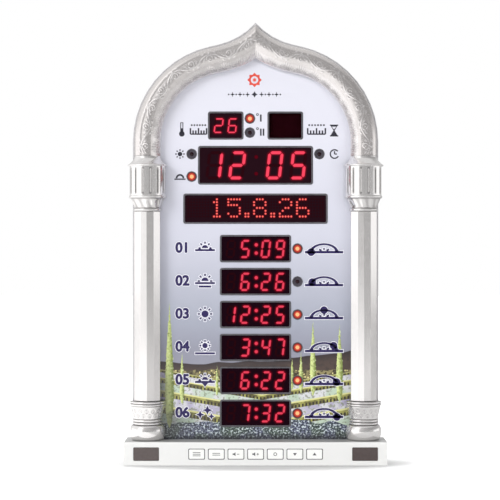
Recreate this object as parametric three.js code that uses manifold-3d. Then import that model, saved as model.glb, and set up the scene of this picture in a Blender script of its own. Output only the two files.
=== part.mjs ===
// An arched digital prayer-time clock: an ogee arch on two engaged columns, a low base with seven keys,
// ten lit displays behind an arched face, and a shallow case behind them.
// Millimetres. +X is to the right, +Z is up and the face looks along -Y. The origin is the middle of the
// footprint, on the surface that the clock stands on.

import * as THREE from "three";
import { mergeVertices } from "three/addons/utils/BufferGeometryUtils.js";
import Module from "manifold-3d";

const wasm = await Module();
wasm.setup();

// Fits that many pieces share
const seatGap = 0.3; // between a piece and its seat
const cutOver = 1; // how far a cutter runs past what it cuts
const meltIn = 0.5; // how far a post or peg runs into the wall that carries it

// Depths of the whole clock, front to back
const keyProud = 0.6;
const ledgeDepth = 31.4; // top of the base in front of the frame
const bodyDepth = 30; // front of the frame to the back of the case

// Base
const baseHeight = 32;
const baseWall = 2.4;
const baseOverhang = 9.8; // past the frame on each side
const baseChamfer = 1.6;

// Frame plate, its skirt and the lip that holds the face
const frameWall = 3;
const frameRim = 2.5; // shows outside the moulding
const skirtWall = 2.4;
const skirtDepth = 9;
const apertureTuck = 0.5; // the aperture's edge hides behind the moulding
const panelLap = 8;
const ribWall = 1.5;

// Columns and arch
const columnSpan = 293; // between the two column axes
const mouldingRadius = 17.7;
const mouldingWall = 2.5;
const archShoulder = 10; // rounded outer part of the arch's section
const archSlope = 12.5; // sloping inner part
const archLip = 4; // height of both edges
const archCrown = 1.2; // how far the band between them bulges
const archStraight = 19.2;
const haunchInset = 33.8; // from the clock's axis to the middle of the haunch's arc
const shoulderRun = 12;
const pointRadius = 116.2;
const shoulderAngle = THREE.MathUtils.degToRad(12.5);

// Pedestal, from the base upwards
const footHeight = 20.3;
const footRadius = 24.2;
const footNeck = 20.2;
const bandHeight = 8.1;
const bandRadius = 20.3;
const bandNeck = 18.4;
const vaseHeight = 17.5;
const vaseFootRadius = 19.2;
const vaseTopRadius = 23;
const crownHeight = 6.7;
const crownRadius = 24;
const crownNeck = 22.6;

// Capital, from the shaft upwards
const neckRingHeight = 3.8;
const neckRingRadius = 19.2;
const bellHeight = 13.7;
const bellFootRadius = 18.2;
const bellTopRadius = 23.4;
const drumRingHeight = 3.8;
const drumRingRadius = 25.4;
const drumHeight = 39.4;
const drumRadius = 24.4;
const lipHeight = 2.8;
const lipRadius = 27;
const flareHeight = 11;
const fluteCount = 6;
const flutePitch = THREE.MathUtils.degToRad(25);
const fluteRadius = 1.25;
const fluteMargin = 3.6;

// Pegs that hold the mouldings in the frame plate
const pegRadius = 2;
const shaftPegShares = [0.25, 0.75]; // of the shaft's length

// Displays, from the base upwards
const bottomMargin = 16.6;
const rowCount = 6;
const rowWidth = 96.5;
const rowHeight = 36.9;
const rowGap = 7.9;
const messageWidth = 196;
const messageHeight = 40.7;
const messageGap = 15.5; // above the rows
const timeWidth = 156;
const timeHeight = 52.2;
const timeGap = 12.6; // above the message
const topWidth = 48;
const topHeight = 37.8;
const topGap = 9; // above the time
const topSplit = 33; // between the two top windows
const springingRise = 38.3; // bottom of the time window to where the arch springs
const windowCorner = 2.6;

// Indicator lamps
const collarRadius = 7.2;
const collarMouth = 6.3;
const lampGap = 1.6; // between a collar and the window beside it
const lampRadius = 4;
const lampLength = 3; // straight part of the lamp, below its dome
const spacerRadius = 4.6;
const lampSink = 1.1; // tip below the collar's front
const unitLampPitch = 19.2;
const halfDayLampPitch = 30.6;

// Face, mask, filters and display modules
const panelThickness = 2;
const rimProud = 0.4;
const rimWall = 2;
const maskPlate = 1;
const maskTuck = 1; // the mask is this much smaller than the face all round
const filterThickness = 1.5;
const filterLap = 3;
const moduleDepth = 9;
const boardThickness = 1.6;
const boardMargin = 7;
const boardInset = 14; // board's side inside the aperture

// Posts between the mask, the board and the rear cover
const boardPostRadius = 3.2;
const boardPinRadius = 1.4;
const boardPostInset = 9;
const boardPostShares = [0.06, 0.5, 0.94]; // of the board's height

// Rear cover
const coverWall = 2.4;
const screwPostRadius = 4;
const lowScrewRise = 80; // above the base
const highScrewDrop = 10; // below the springing
const screwShankRadius = 1.4;
const screwShankLength = 12;
const screwHeadRadius = 3;
const screwHeadHeight = 1.2;
const screwSink = 0.1;
const baseBossLength = 14;
const baseScrewSpan = 260;
const keyholeSpan = 160;
const keyholeRise = 370; // above the base
const keyholeEntryRadius = 5;
const keyholeSlotWidth = 5;
const keyholeSlotLength = 10;
const keyholePocketDepth = 6.2;
const keyholePocketMargin = 3;
const pocketWall = 1.4;
const ventCount = 6;
const ventLength = 70;
const ventWidth = 3;
const ventPitch = 8;
const ventRise = 30; // above the base

// Speaker and its grille
const speakerRadius = 25;
const speakerFlangeRadius = 25;
const speakerFlange = 1.4;
const speakerDepth = 14;
const speakerBasketRadius = 22;
const speakerMagnetRadius = 14;
const speakerMagnetDepth = 6;
const speakerRise = 6; // above the board
const speakerRingWall = 1.6;
const speakerRingHeight = 3;
const grilleSlotCount = 7;
const grilleSlotWidth = 2.6;
const grillePitch = 5.6;

// Backup cell, its holder and the battery door
const cellRadius = 10;
const cellThickness = 3.2;
const holderMargin = 3;
const holderFloor = 1;
const doorMargin = 7; // the door's opening around the holder
const doorFlange = 3;
const doorStep = 1.2;
const cellRise = 170; // above the base

// Power inlet
const jackBodyWidth = 9;
const jackBodyHeight = 11;
const jackBodyDepth = 13;
const jackBarrelRadius = 4.6;
const jackBoreRadius = 3.2;
const jackPinRadius = 1;
const jackBoreDepth = 9;
const jackOffset = 100;

// Keys and their board
const keyCount = 7;
const keyPitch = 26.3;
const keyWidth = 20.3;
const keyHeight = 12.6;
const keyCorner = 1.2;
const keyFlange = 1.3; // beyond the key on each side
const keyFlangeThickness = 1.2;
const keyTravel = 0.8;
const keyStemRadius = 1.5;
const stemEngage = 1.6;
const switchWidth = 6;
const switchHeight = 3.6;
const keyBoardMargin = 1.5;
const keyBoardPostRadius = 3;
const keyBoardPinRadius = 1.3;

// Sensor windows in the base
const sensorWidth = 34;
const sensorHeight = 17.6;
const sensorCorner = 1.4;
const sensorSink = 0.4;
const sensorBodyWidth = 6;
const sensorBodyHeight = 7;

// Facets of round shapes
const cornerSteps = 1;
const roundSteps = 8;
const pinSteps = 6;
const lampSteps = 8;
const domeSteps = 2;
const turnedSteps = 20;
const coreSteps = 12;
const haunchSteps = 10;
const pointSteps = 4;
const shoulderSteps = 4;
const coreShoulderSteps = 2;
const beadSteps = 4;
const fluteSteps = 6;
const fluteEndSteps = 1;

// Planes from front to back
const totalDepth = keyProud + ledgeDepth + bodyDepth;
const rearFace = totalDepth / 2;
const baseFront = keyProud - rearFace;
const frameFront = baseFront + ledgeDepth;
const frameRear = frameFront + frameWall;
const panelFront = frameRear + seatGap;
const panelRear = panelFront + panelThickness;
const maskFront = panelRear + seatGap;
const maskRear = maskFront + maskPlate;
const rimFront = panelFront - rimProud;
const filterFront = maskRear + seatGap;
const moduleFront = filterFront + filterThickness + seatGap;
const moduleRear = moduleFront + moduleDepth;
const boardFront = moduleRear + seatGap;
const boardRear = boardFront + boardThickness;
const skirtRear = frameRear + skirtDepth;
const coverFront = skirtRear + seatGap;
const coverInner = rearFace - coverWall;

// Widths
const columnX = columnSpan / 2;
const haunchRadius = columnX - haunchInset;
const frameOffset = mouldingRadius + frameRim;
const baseHalf = columnX + frameOffset + baseOverhang;
const apertureOffset = apertureTuck - mouldingRadius;
const panelOffset = apertureOffset + panelLap;
const ribOffset = panelOffset + seatGap + ribWall;
const skirtOffset = frameOffset - skirtWall;
const coverOffset = frameOffset - coverWall;
const apertureHalf = columnX + apertureOffset;
const boardHalf = apertureHalf - boardInset;

// Heights
const legFoot = baseWall + seatGap;
const rowPitch = rowHeight + rowGap;
const firstRowZ = baseHeight + bottomMargin + rowHeight / 2;
const rowsTop = firstRowZ + (rowCount - 1) * rowPitch + rowHeight / 2;
const messageZ = rowsTop + messageGap + messageHeight / 2;
const timeFoot = messageZ + messageHeight / 2 + timeGap;
const timeZ = timeFoot + timeHeight / 2;
const topZ = timeFoot + timeHeight + topGap + topHeight / 2;
const springing = timeFoot + springingRise;
const pedestalHeight = footHeight + bandHeight + vaseHeight + crownHeight;
const capitalHeight =
  neckRingHeight + bellHeight + drumRingHeight + drumHeight + lipHeight + flareHeight;
const pedestalFoot = baseHeight + seatGap;
const shaftFoot = pedestalFoot + pedestalHeight + seatGap;
const capitalFoot = springing - seatGap - capitalHeight;
const shaftLength = capitalFoot - seatGap - shaftFoot;
const boardFoot = baseHeight + bottomMargin - boardMargin;
const boardTop = topZ + topHeight / 2 + boardMargin;
const speakerZ = boardTop + speakerRise + speakerFlangeRadius;
const keyZ = baseHeight / 2;

// A turned or extruded geometry as a solid that can be cut and joined
function solid(geometry) {
  const bare = geometry.index ? geometry.toNonIndexed() : geometry.clone();
  bare.deleteAttribute("normal");
  bare.deleteAttribute("uv");
  const merged = mergeVertices(bare);
  const vertProperties = merged.attributes.position.array;
  const triVerts = new Uint32Array(merged.index.array);
  return new wasm.Manifold(new wasm.Mesh({ numProp: 3, vertProperties, triVerts }));
}

function geometryOf(made) {
  const mesh = made.getMesh();
  const geometry = new THREE.BufferGeometry();
  geometry.setAttribute("position", new THREE.BufferAttribute(mesh.vertProperties, mesh.numProp));
  geometry.setIndex(new THREE.BufferAttribute(mesh.triVerts, 1));
  geometry.computeVertexNormals();
  return geometry;
}

function joined(solids) {
  return solids.reduce((all, next) => all.add(next));
}

function cut(body, cutters) {
  return cutters.reduce((left, cutter) => left.subtract(cutter), body);
}

// A shape drawn in X and Z, given a thickness towards +Y
function slab(shape, front, depth) {
  const settings = { depth, bevelEnabled: false, curveSegments: cornerSteps };
  const geometry = new THREE.ExtrudeGeometry(shape, settings);
  return solid(geometry.rotateX(Math.PI / 2).translate(0, front + depth, 0));
}

// A round bar along Y
function bar(radius, front, depth, x = 0, z = 0, steps = roundSteps) {
  const geometry = new THREE.CylinderGeometry(radius, radius, depth, steps);
  return solid(geometry.translate(x, front + depth / 2, z));
}

function block(width, depth, height, x, front, foot) {
  const geometry = new THREE.BoxGeometry(width, depth, height);
  return solid(geometry.translate(x, front + depth / 2, foot + height / 2));
}

function roundedRect(width, height, corner, x = 0, z = 0) {
  const left = x - width / 2;
  const foot = z - height / 2;
  const shape = new THREE.Shape();
  shape.absarc(left + width - corner, foot + corner, corner, -Math.PI / 2, 0);
  shape.absarc(left + width - corner, foot + height - corner, corner, 0, Math.PI / 2);
  shape.absarc(left + corner, foot + height - corner, corner, Math.PI / 2, Math.PI);
  shape.absarc(left + corner, foot + corner, corner, Math.PI, Math.PI * 1.5);
  shape.closePath();
  return shape;
}

// A slot with round ends that runs along X
function slotShape(length, width, x, z) {
  return roundedRect(length, width, width / 2, x, z);
}

// The left half of the ogee, at a distance outside the moulding's centre line, springing to point
function ogeeHalf(offset) {
  const haunchZ = springing + archStraight;
  const sweep = Math.PI / 2 - shoulderAngle;
  const points = [new THREE.Vector2(-columnX - offset, springing)];
  for (let i = 0; i <= haunchSteps; i++) {
    const turn = (sweep * i) / haunchSteps;
    const reach = haunchRadius + offset;
    points.push(
      new THREE.Vector2(-haunchInset - reach * Math.cos(turn), haunchZ + reach * Math.sin(turn)),
    );
  }
  const sine = Math.sin(shoulderAngle);
  const cosine = Math.cos(shoulderAngle);
  const pointX = -haunchInset - haunchRadius * sine + shoulderRun * cosine - pointRadius * sine;
  const pointZ = haunchZ + haunchRadius * cosine + shoulderRun * sine + pointRadius * cosine;
  const reach = pointRadius - offset;
  const last = Math.asin(-pointX / reach);
  for (let i = 0; i <= pointSteps; i++) {
    const turn = shoulderAngle + ((last - shoulderAngle) * i) / pointSteps;
    const x = i === pointSteps ? 0 : pointX + reach * Math.sin(turn);
    points.push(new THREE.Vector2(x, pointZ - reach * Math.cos(turn)));
  }
  return points;
}

function ogee(offset) {
  const left = ogeeHalf(offset);
  const right = left.slice(0, -1).reverse();
  return [...left, ...right.map((p) => new THREE.Vector2(-p.x, p.y))];
}

// The arched outline of the frame and what fits inside it, down to a straight foot
function arched(offset, foot) {
  const half = columnX + offset;
  return new THREE.Shape([
    new THREE.Vector2(half, foot),
    new THREE.Vector2(-half, foot),
    ...ogee(offset),
  ]);
}

// A section carried along rings of points that follow its corners, closed at both ends
function loft(section, rings) {
  const around = section.length;
  const position = rings.flat().flatMap((p) => [p.x, p.y, p.z]);
  const index = [];
  for (let j = 0; j + 1 < rings.length; j++) {
    for (let i = 0; i < around; i++) {
      const a = j * around + i;
      const b = j * around + ((i + 1) % around);
      index.push(a, a + around, b, b, a + around, b + around);
    }
  }
  const end = (rings.length - 1) * around;
  for (const [a, b, c] of THREE.ShapeUtils.triangulateShape(section, [])) {
    index.push(a, c, b, end + a, end + b, end + c);
  }
  const geometry = new THREE.BufferGeometry();
  geometry.setAttribute("position", new THREE.Float32BufferAttribute(position, 3));
  geometry.setIndex(index);
  return solid(geometry);
}

// The side view of a turned piece, drawn from its foot upwards
class Profile {
  constructor(radius, height = 0) {
    this.height = height;
    this.points = [new THREE.Vector2(0, height), new THREE.Vector2(radius, height)];
  }
  to(radius, rise = 0) {
    this.height += rise;
    this.points.push(new THREE.Vector2(radius, this.height));
    return this;
  }
  // A half-round bead that stands out to a radius from the two necks
  bead(neck, radius, rise) {
    for (let i = 0; i <= beadSteps; i++) {
      const turn = (Math.PI * i) / beadSteps;
      const lift = (rise * (1 - Math.cos(turn))) / 2;
      const out = neck + (radius - neck) * Math.sin(turn);
      this.points.push(new THREE.Vector2(out, this.height + lift));
    }
    this.height += rise;
    return this;
  }
  // A hollow quarter curve from one radius to another, steep at the smaller end
  cove(from, to, rise, steps = beadSteps) {
    for (let i = 0; i <= steps; i++) {
      const share = i / steps;
      const bow = to > from ? 1 - Math.cos((share * Math.PI) / 2) : Math.sin((share * Math.PI) / 2);
      this.points.push(new THREE.Vector2(from + (to - from) * bow, this.height + rise * share));
    }
    this.height += rise;
    return this;
  }
  // The points with repeats left out, closed on the axis
  outline() {
    const kept = this.points.filter((p, i, all) => i === 0 || !p.equals(all[i - 1]));
    return [...kept, new THREE.Vector2(0, this.height)];
  }
}

// A profile turned about Z, or about Y where it stands for a small round part
function turned(profile, steps = turnedSteps) {
  return new THREE.LatheGeometry(profile.outline(), steps);
}

// The front half of a turned piece with a hollow core and a peg, flat at the back
function engaged(profile, height, pegZ) {
  const core = mouldingRadius - mouldingWall;
  const body = solid(turned(profile).rotateX(Math.PI / 2));
  const coreGeometry = new THREE.CylinderGeometry(core, core, height + 2 * cutOver, coreSteps);
  const hollow = solid(coreGeometry.rotateX(Math.PI / 2).translate(0, 0, height / 2));
  const reach = lipRadius + footRadius;
  const back = block(2 * reach, reach, height + 2 * cutOver, 0, -seatGap, -cutOver);
  return cut(body, [hollow, back]).add(peg(0, core, pegZ, drumRadius));
}

// A peg from inside a hollow moulding to the back of the frame plate, in the moulding's own frame
function peg(x, core, z, limit) {
  const start = -Math.min(core + meltIn, limit);
  return bar(pegRadius, start, frameWall - start, x, z, pinSteps);
}

function pedestalSolid() {
  const profile = new Profile(footNeck)
    .bead(footNeck, footRadius, footHeight)
    .bead(bandNeck, bandRadius, bandHeight / 2)
    .bead(bandNeck, bandRadius, bandHeight / 2)
    .cove(vaseFootRadius, vaseTopRadius, vaseHeight)
    .bead(crownNeck, crownRadius, crownHeight / 2)
    .bead(crownNeck, crownRadius, crownHeight / 2);
  const pegZ = footHeight + bandHeight + vaseHeight / 2;
  return engaged(profile, pedestalHeight, pegZ);
}

function flute(angle) {
  const length = drumHeight - 2 * fluteMargin;
  const foot = neckRingHeight + bellHeight + drumRingHeight + fluteMargin;
  const straight = length - 2 * fluteRadius;
  const geometry = new THREE.CapsuleGeometry(fluteRadius, straight, fluteEndSteps, fluteSteps);
  geometry.rotateX(Math.PI / 2);
  const x = drumRadius * Math.sin(angle);
  const y = -drumRadius * Math.cos(angle);
  return solid(geometry.translate(x, y, foot + length / 2));
}

function capitalSolid() {
  const profile = new Profile(bellFootRadius)
    .bead(bellFootRadius, neckRingRadius, neckRingHeight)
    .cove(bellFootRadius, bellTopRadius, bellHeight)
    .bead(drumRadius, drumRingRadius, drumRingHeight)
    .to(drumRadius)
    .to(drumRadius, drumHeight)
    .bead(drumRingRadius, lipRadius, lipHeight)
    .cove(drumRingRadius, mouldingRadius, flareHeight);
  const pegZ = neckRingHeight + bellHeight + drumRingHeight + drumHeight / 2;
  const flutes = [];
  for (let i = 0; i < fluteCount; i++) {
    flutes.push(flute((i - (fluteCount - 1) / 2) * flutePitch));
  }
  return cut(engaged(profile, capitalHeight, pegZ), flutes);
}

// The front corners of a shaft, from its right edge to its left one: four facets show
const shaftCorners = [0, 60, 90, 120, 180].map(THREE.MathUtils.degToRad);

function shaftOutline(radius, back) {
  const points = shaftCorners.map(
    (a) => new THREE.Vector2(radius * Math.cos(a), -radius * Math.sin(a)),
  );
  const first = new THREE.Vector2(radius, back);
  const last = new THREE.Vector2(-radius, back);
  return new THREE.Shape([first, ...points.slice(1, -1), last].reverse());
}

function shaftSolid() {
  const settings = { depth: shaftLength, bevelEnabled: false };
  const outer = solid(new THREE.ExtrudeGeometry(shaftOutline(mouldingRadius, -seatGap), settings));
  const core = mouldingRadius - mouldingWall;
  const hollow = { depth: shaftLength + 2 * cutOver, bevelEnabled: false };
  const inner = new THREE.ExtrudeGeometry(shaftOutline(core, cutOver), hollow);
  const shell = outer.subtract(solid(inner.translate(0, 0, -cutOver)));
  return joined([shell, ...shaftPegShares.map((share) => peg(0, core, share * shaftLength, core))]);
}

// Where the arch moulding's pegs go: one on each side at the springing and one on each shoulder
function archPegs() {
  const centre = ogeeHalf(0);
  const shoulder = centre[haunchSteps + 1];
  return [-1, 1].flatMap((side) => [
    new THREE.Vector2(side * columnX, springing + archStraight / 2),
    new THREE.Vector2(side * -shoulder.x, shoulder.y),
  ]);
}

// The arch's section from its outer edge to its inner one: a rounded shoulder, a crowned band, a slope
function archSection(half, lip, rise, steps) {
  const points = [new THREE.Vector2(half, 0)];
  const eaves = rise - archCrown;
  for (let i = 0; i <= steps; i++) {
    const turn = (Math.PI * i) / steps / 2;
    const x = half - archShoulder * (1 - Math.cos(turn));
    points.push(new THREE.Vector2(x, lip + (eaves - lip) * Math.sin(turn)));
  }
  const bandWidth = 2 * half - archShoulder - archSlope;
  points.push(new THREE.Vector2(half - archShoulder - bandWidth / 2, rise));
  points.push(new THREE.Vector2(archSlope - half, eaves));
  points.push(new THREE.Vector2(-half, lip));
  points.push(new THREE.Vector2(-half, 0));
  return points;
}

function archSolid() {
  const core = mouldingRadius - mouldingWall;
  const section = [
    ...archSection(core, archLip - mouldingWall / 2, core, coreShoulderSteps),
    ...archSection(mouldingRadius, archLip, mouldingRadius, shoulderSteps).reverse(),
  ];
  const back = frameFront - seatGap;
  const lines = section.map((corner) => ogee(corner.x));
  const rings = lines[0].map((_, station) =>
    section.map((corner, i) => {
      const place = lines[i][station];
      return new THREE.Vector3(place.x, back - corner.y, place.y);
    }),
  );
  const pegs = archPegs().map((place) => {
    const start = back - core - meltIn;
    return bar(pegRadius, start, frameRear - start, place.x, place.y, pinSteps);
  });
  return joined([loft(section, rings), ...pegs]);
}

// Every display: its window's size and centre on the face
const displays = [
  { name: "temperature", width: topWidth, height: topHeight, x: -(topSplit + topWidth) / 2, z: topZ },
  { name: "countdown", width: topWidth, height: topHeight, x: (topSplit + topWidth) / 2, z: topZ },
  { name: "time", width: timeWidth, height: timeHeight, x: 0, z: timeZ },
  { name: "message", width: messageWidth, height: messageHeight, x: 0, z: messageZ },
];
for (let i = 0; i < rowCount; i++) {
  const z = firstRowZ + (rowCount - 1 - i) * rowPitch;
  displays.push({ name: `row_${i + 1}`, width: rowWidth, height: rowHeight, x: 0, z });
}

// Every indicator lamp, beside the window it belongs to
const unitLampX = lampGap + collarRadius - topSplit / 2;
const timeLampX = timeWidth / 2 + lampGap + collarRadius;
const rowLampX = rowWidth / 2 + lampGap + collarRadius;
const lamps = [
  { name: "celsius", x: unitLampX, z: topZ + unitLampPitch / 2 },
  { name: "fahrenheit", x: unitLampX, z: topZ - unitLampPitch / 2 },
  { name: "am", x: -timeLampX, z: timeZ + halfDayLampPitch / 2 },
  { name: "pm", x: -timeLampX, z: timeZ - halfDayLampPitch / 2 },
  { name: "summer_time", x: timeLampX, z: timeZ + halfDayLampPitch / 2 },
];
for (let i = 0; i < rowCount; i++) {
  const z = firstRowZ + (rowCount - 1 - i) * rowPitch;
  lamps.push({ name: `row_${i + 1}`, x: rowLampX, z });
}

// Screws that hold the rear cover: four into the frame's posts, two into the base's bosses
const screwPostX = columnX + (ribOffset + skirtOffset) / 2;
const frameScrews = [-1, 1].flatMap((side) => [
  { x: side * screwPostX, z: baseHeight + lowScrewRise },
  { x: side * screwPostX, z: springing - highScrewDrop },
]);
const baseBossZ = baseWall + screwPostRadius - meltIn;
const baseScrews = [-1, 1].map((side) => ({ x: (side * baseScrewSpan) / 2, z: baseBossZ }));
const screwBore = screwShankRadius + seatGap;
const screwSeat = rearFace - screwSink - screwHeadHeight - seatGap;

// Posts that hold the main board between the mask and the rear cover
const boardPosts = [-1, 1].flatMap((side) =>
  boardPostShares.map((share) => ({
    x: side * (boardHalf - boardPostInset),
    z: boardFoot + share * (boardTop - boardFoot),
  })),
);

function frameSolid() {
  const outer = arched(frameOffset, legFoot);
  const body = slab(outer, frameFront, frameWall + skirtDepth);
  const inside = slab(arched(skirtOffset, legFoot - cutOver), frameRear, skirtDepth + cutOver);
  const aperture = slab(
    arched(apertureOffset, baseHeight),
    frameFront - cutOver,
    frameWall + 2 * cutOver,
  );
  const ribDepth = maskRear - frameRear;
  const ribFoot = baseHeight - panelLap - seatGap;
  const rib = slab(
    arched(ribOffset, ribFoot - ribWall),
    frameRear - meltIn,
    ribDepth + meltIn,
  ).subtract(
    slab(arched(panelOffset + seatGap, ribFoot), frameRear - cutOver, ribDepth + 2 * cutOver),
  );
  const postDepth = coverInner - seatGap - frameRear;
  const posts = frameScrews.map(({ x, z }) =>
    bar(screwPostRadius, frameRear - meltIn, postDepth + meltIn, x, z),
  );
  const pilots = frameScrews.map(({ x, z }) =>
    bar(screwBore, frameRear, postDepth + cutOver, x, z, pinSteps),
  );
  const shell = joined([cut(body, [inside, aperture]), rib, ...posts]);
  const holeDepth = frameWall + 2 * cutOver;
  const pegHoles = pegPlaces().map(({ x, y }) =>
    bar(pegRadius + seatGap, frameFront - cutOver, holeDepth, x, y, pinSteps),
  );
  return cut(shell, [...pilots, ...pegHoles]);
}

// Every peg of the mouldings, where it goes through the frame plate
function pegPlaces() {
  const heights = [
    pedestalFoot + footHeight + bandHeight + vaseHeight / 2,
    ...shaftPegShares.map((share) => shaftFoot + share * shaftLength),
    capitalFoot + neckRingHeight + bellHeight + drumRingHeight + drumHeight / 2,
  ];
  const columns = [-1, 1].flatMap((side) =>
    heights.map((z) => new THREE.Vector2(side * columnX, z)),
  );
  return [...columns, ...archPegs()];
}

function panelSolid() {
  const shape = arched(panelOffset, baseHeight - panelLap);
  for (const { width, height, x, z } of displays) {
    const grown = 2 * seatGap;
    shape.holes.push(roundedRect(width + grown, height + grown, windowCorner + seatGap, x, z));
  }
  const holes = lamps.map(({ x, z }) =>
    bar(collarRadius + seatGap, panelFront - cutOver, panelThickness + 2 * cutOver, x, z),
  );
  return cut(slab(shape, panelFront, panelThickness), holes);
}

// A cone that narrows towards the back, for the mouth of a lamp's collar
function mouth(x, z) {
  const bore = lampRadius + seatGap;
  const profile = new Profile(collarMouth, -cutOver)
    .to(collarMouth, cutOver)
    .to(bore, maskFront - rimFront);
  const cone = turned(profile, roundSteps).translate(x, rimFront, z);
  return solid(cone).add(bar(bore, maskFront - meltIn, maskPlate + meltIn + cutOver, x, z));
}

function maskSolid() {
  const offset = panelOffset - maskTuck;
  const plate = slab(arched(offset, baseHeight - panelLap + maskTuck), maskFront, maskPlate);
  const rimDepth = maskRear - rimFront;
  const rims = displays.map(({ width, height, x, z }) =>
    slab(roundedRect(width, height, windowCorner, x, z), rimFront, rimDepth),
  );
  const openings = displays.map(({ width, height, x, z }) => {
    const corner = windowCorner - rimWall / 2;
    const shape = roundedRect(width - 2 * rimWall, height - 2 * rimWall, corner, x, z);
    return slab(shape, rimFront - cutOver, rimDepth + 2 * cutOver);
  });
  const collars = lamps.map(({ x, z }) => bar(collarRadius, rimFront, rimDepth, x, z));
  const mouths = lamps.map(({ x, z }) => mouth(x, z));
  const postDepth = boardFront - seatGap - maskRear;
  const pinDepth = boardRear - maskRear;
  const posts = boardPosts.flatMap(({ x, z }) => [
    bar(boardPostRadius, maskRear - meltIn, postDepth + meltIn, x, z),
    bar(boardPinRadius, maskRear - meltIn, pinDepth + meltIn, x, z, pinSteps),
  ]);
  return cut(joined([plate, ...rims, ...collars, ...posts]), [...openings, ...mouths]);
}

function filterSolid(width, height) {
  return slab(
    roundedRect(width + 2 * filterLap, height + 2 * filterLap, windowCorner),
    filterFront,
    filterThickness,
  );
}

// A module fills its window from behind
function moduleSolid(width, height) {
  return block(width, moduleDepth, height, 0, moduleFront, -height / 2);
}

function mainBoardSolid() {
  const height = boardTop - boardFoot;
  const board = block(2 * boardHalf, boardThickness, height, 0, boardFront, boardFoot);
  const depth = boardThickness + 2 * cutOver;
  const holes = boardPosts.map(({ x, z }) =>
    bar(boardPinRadius + seatGap, boardFront - cutOver, depth, x, z, pinSteps),
  );
  return cut(board, holes);
}

// A round lamp: domed tip towards the front, and the wider spacer that stands it off the board
function lampGeometry() {
  const tip = rimFront + lampSink;
  const length = boardFront - seatGap - tip;
  const profile = new Profile(spacerRadius)
    .to(spacerRadius, length - lampRadius - lampLength)
    .to(lampRadius)
    .to(lampRadius, lampLength)
    .cove(lampRadius, 0, lampRadius, domeSteps);
  return turned(profile, lampSteps).rotateX(Math.PI).translate(0, boardFront - seatGap, 0);
}

function screwSolid() {
  const top = rearFace - screwSink;
  const head = bar(screwHeadRadius, top - screwHeadHeight, screwHeadHeight, 0, 0, lampSteps);
  const shankFront = top - screwHeadHeight - screwShankLength;
  const shank = bar(screwShankRadius, shankFront, screwShankLength + meltIn, 0, 0, pinSteps);
  return head.add(shank);
}

function baseSolid() {
  const side = new THREE.Shape([
    new THREE.Vector2(baseFront, baseChamfer / 2),
    new THREE.Vector2(baseFront + baseChamfer / 2, 0),
    new THREE.Vector2(rearFace, 0),
    new THREE.Vector2(rearFace, baseHeight),
    new THREE.Vector2(baseFront + baseChamfer, baseHeight),
    new THREE.Vector2(baseFront, baseHeight - baseChamfer),
  ]);
  const settings = { depth: 2 * baseHalf, bevelEnabled: false };
  const geometry = new THREE.ExtrudeGeometry(side, settings).rotateX(Math.PI / 2);
  const outer = solid(geometry.rotateZ(Math.PI / 2).translate(-baseHalf, 0, 0));
  const rear = coverInner - seatGap;
  const wallInner = baseFront + baseWall;
  const insideHeight = baseHeight - 2 * baseWall;
  const insideWidth = 2 * (baseHalf - baseWall);
  const insideDepth = rearFace - baseWall - wallInner;
  const cavity = block(insideWidth, insideDepth, insideHeight, 0, wallInner, baseWall);
  const apronWidth = 2 * (columnX + frameOffset + seatGap);
  const apronCut = block(
    apronWidth,
    rearFace - rear + cutOver,
    baseHeight + 2 * cutOver,
    0,
    rear,
    -cutOver,
  );
  const notchFront = frameFront - seatGap;
  const notch = block(
    2 * (columnX + frameOffset + seatGap),
    rear - notchFront + cutOver,
    baseWall + 2 * cutOver,
    0,
    notchFront,
    baseHeight - baseWall - cutOver,
  );
  const wallCut = baseWall + 2 * cutOver;
  const grown = 2 * seatGap;
  const slots = keyPlaces().map((x) => {
    const shape = roundedRect(keyWidth + grown, keyHeight + grown, keyCorner + seatGap, x, keyZ);
    return slab(shape, baseFront - cutOver, wallCut);
  });
  const sensorSlots = [-1, 1].map((way) => {
    const width = sensorWidth + grown;
    const shape = roundedRect(width, sensorHeight + grown, sensorCorner, way * columnX, keyZ);
    return slab(shape, baseFront - cutOver, wallCut);
  });
  const posts = [-1, 1].flatMap((way) => {
    const x = way * keyBoardPostX;
    const depth = keyBoardFront - seatGap - wallInner;
    const pin = keyBoardFront + boardThickness - wallInner;
    return [
      bar(keyBoardPostRadius, wallInner - meltIn, depth + meltIn, x, keyZ),
      bar(keyBoardPinRadius, wallInner - meltIn, pin + meltIn, x, keyZ, pinSteps),
    ];
  });
  const bosses = baseScrews.map(({ x, z }) =>
    bar(screwPostRadius, rear - baseBossLength, baseBossLength, x, z),
  );
  const pilots = baseScrews.map(({ x, z }) =>
    bar(screwBore, rear - baseBossLength + baseWall, baseBossLength, x, z, pinSteps),
  );
  const shell = cut(outer, [cavity, apronCut, notch, ...slots, ...sensorSlots]);
  return cut(joined([shell, ...posts, ...bosses]), pilots);
}

// Keys along the front of the base
function keyPlaces() {
  const places = [];
  for (let i = 0; i < keyCount; i++) {
    places.push((i - (keyCount - 1) / 2) * keyPitch);
  }
  return places;
}

const keyFlangeFront = baseFront + baseWall + seatGap;
const keyFlangeRear = keyFlangeFront + keyFlangeThickness;
const switchFront = keyFlangeRear + keyTravel + seatGap;
const keyBoardFront = switchFront + switchHeight;
const keyBoardHalf = columnX + sensorWidth / 2;
const keyBoardPostX =
  (((keyCount - 1) / 2) * keyPitch + keyWidth / 2 + columnX - sensorWidth / 2) / 2;

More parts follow.
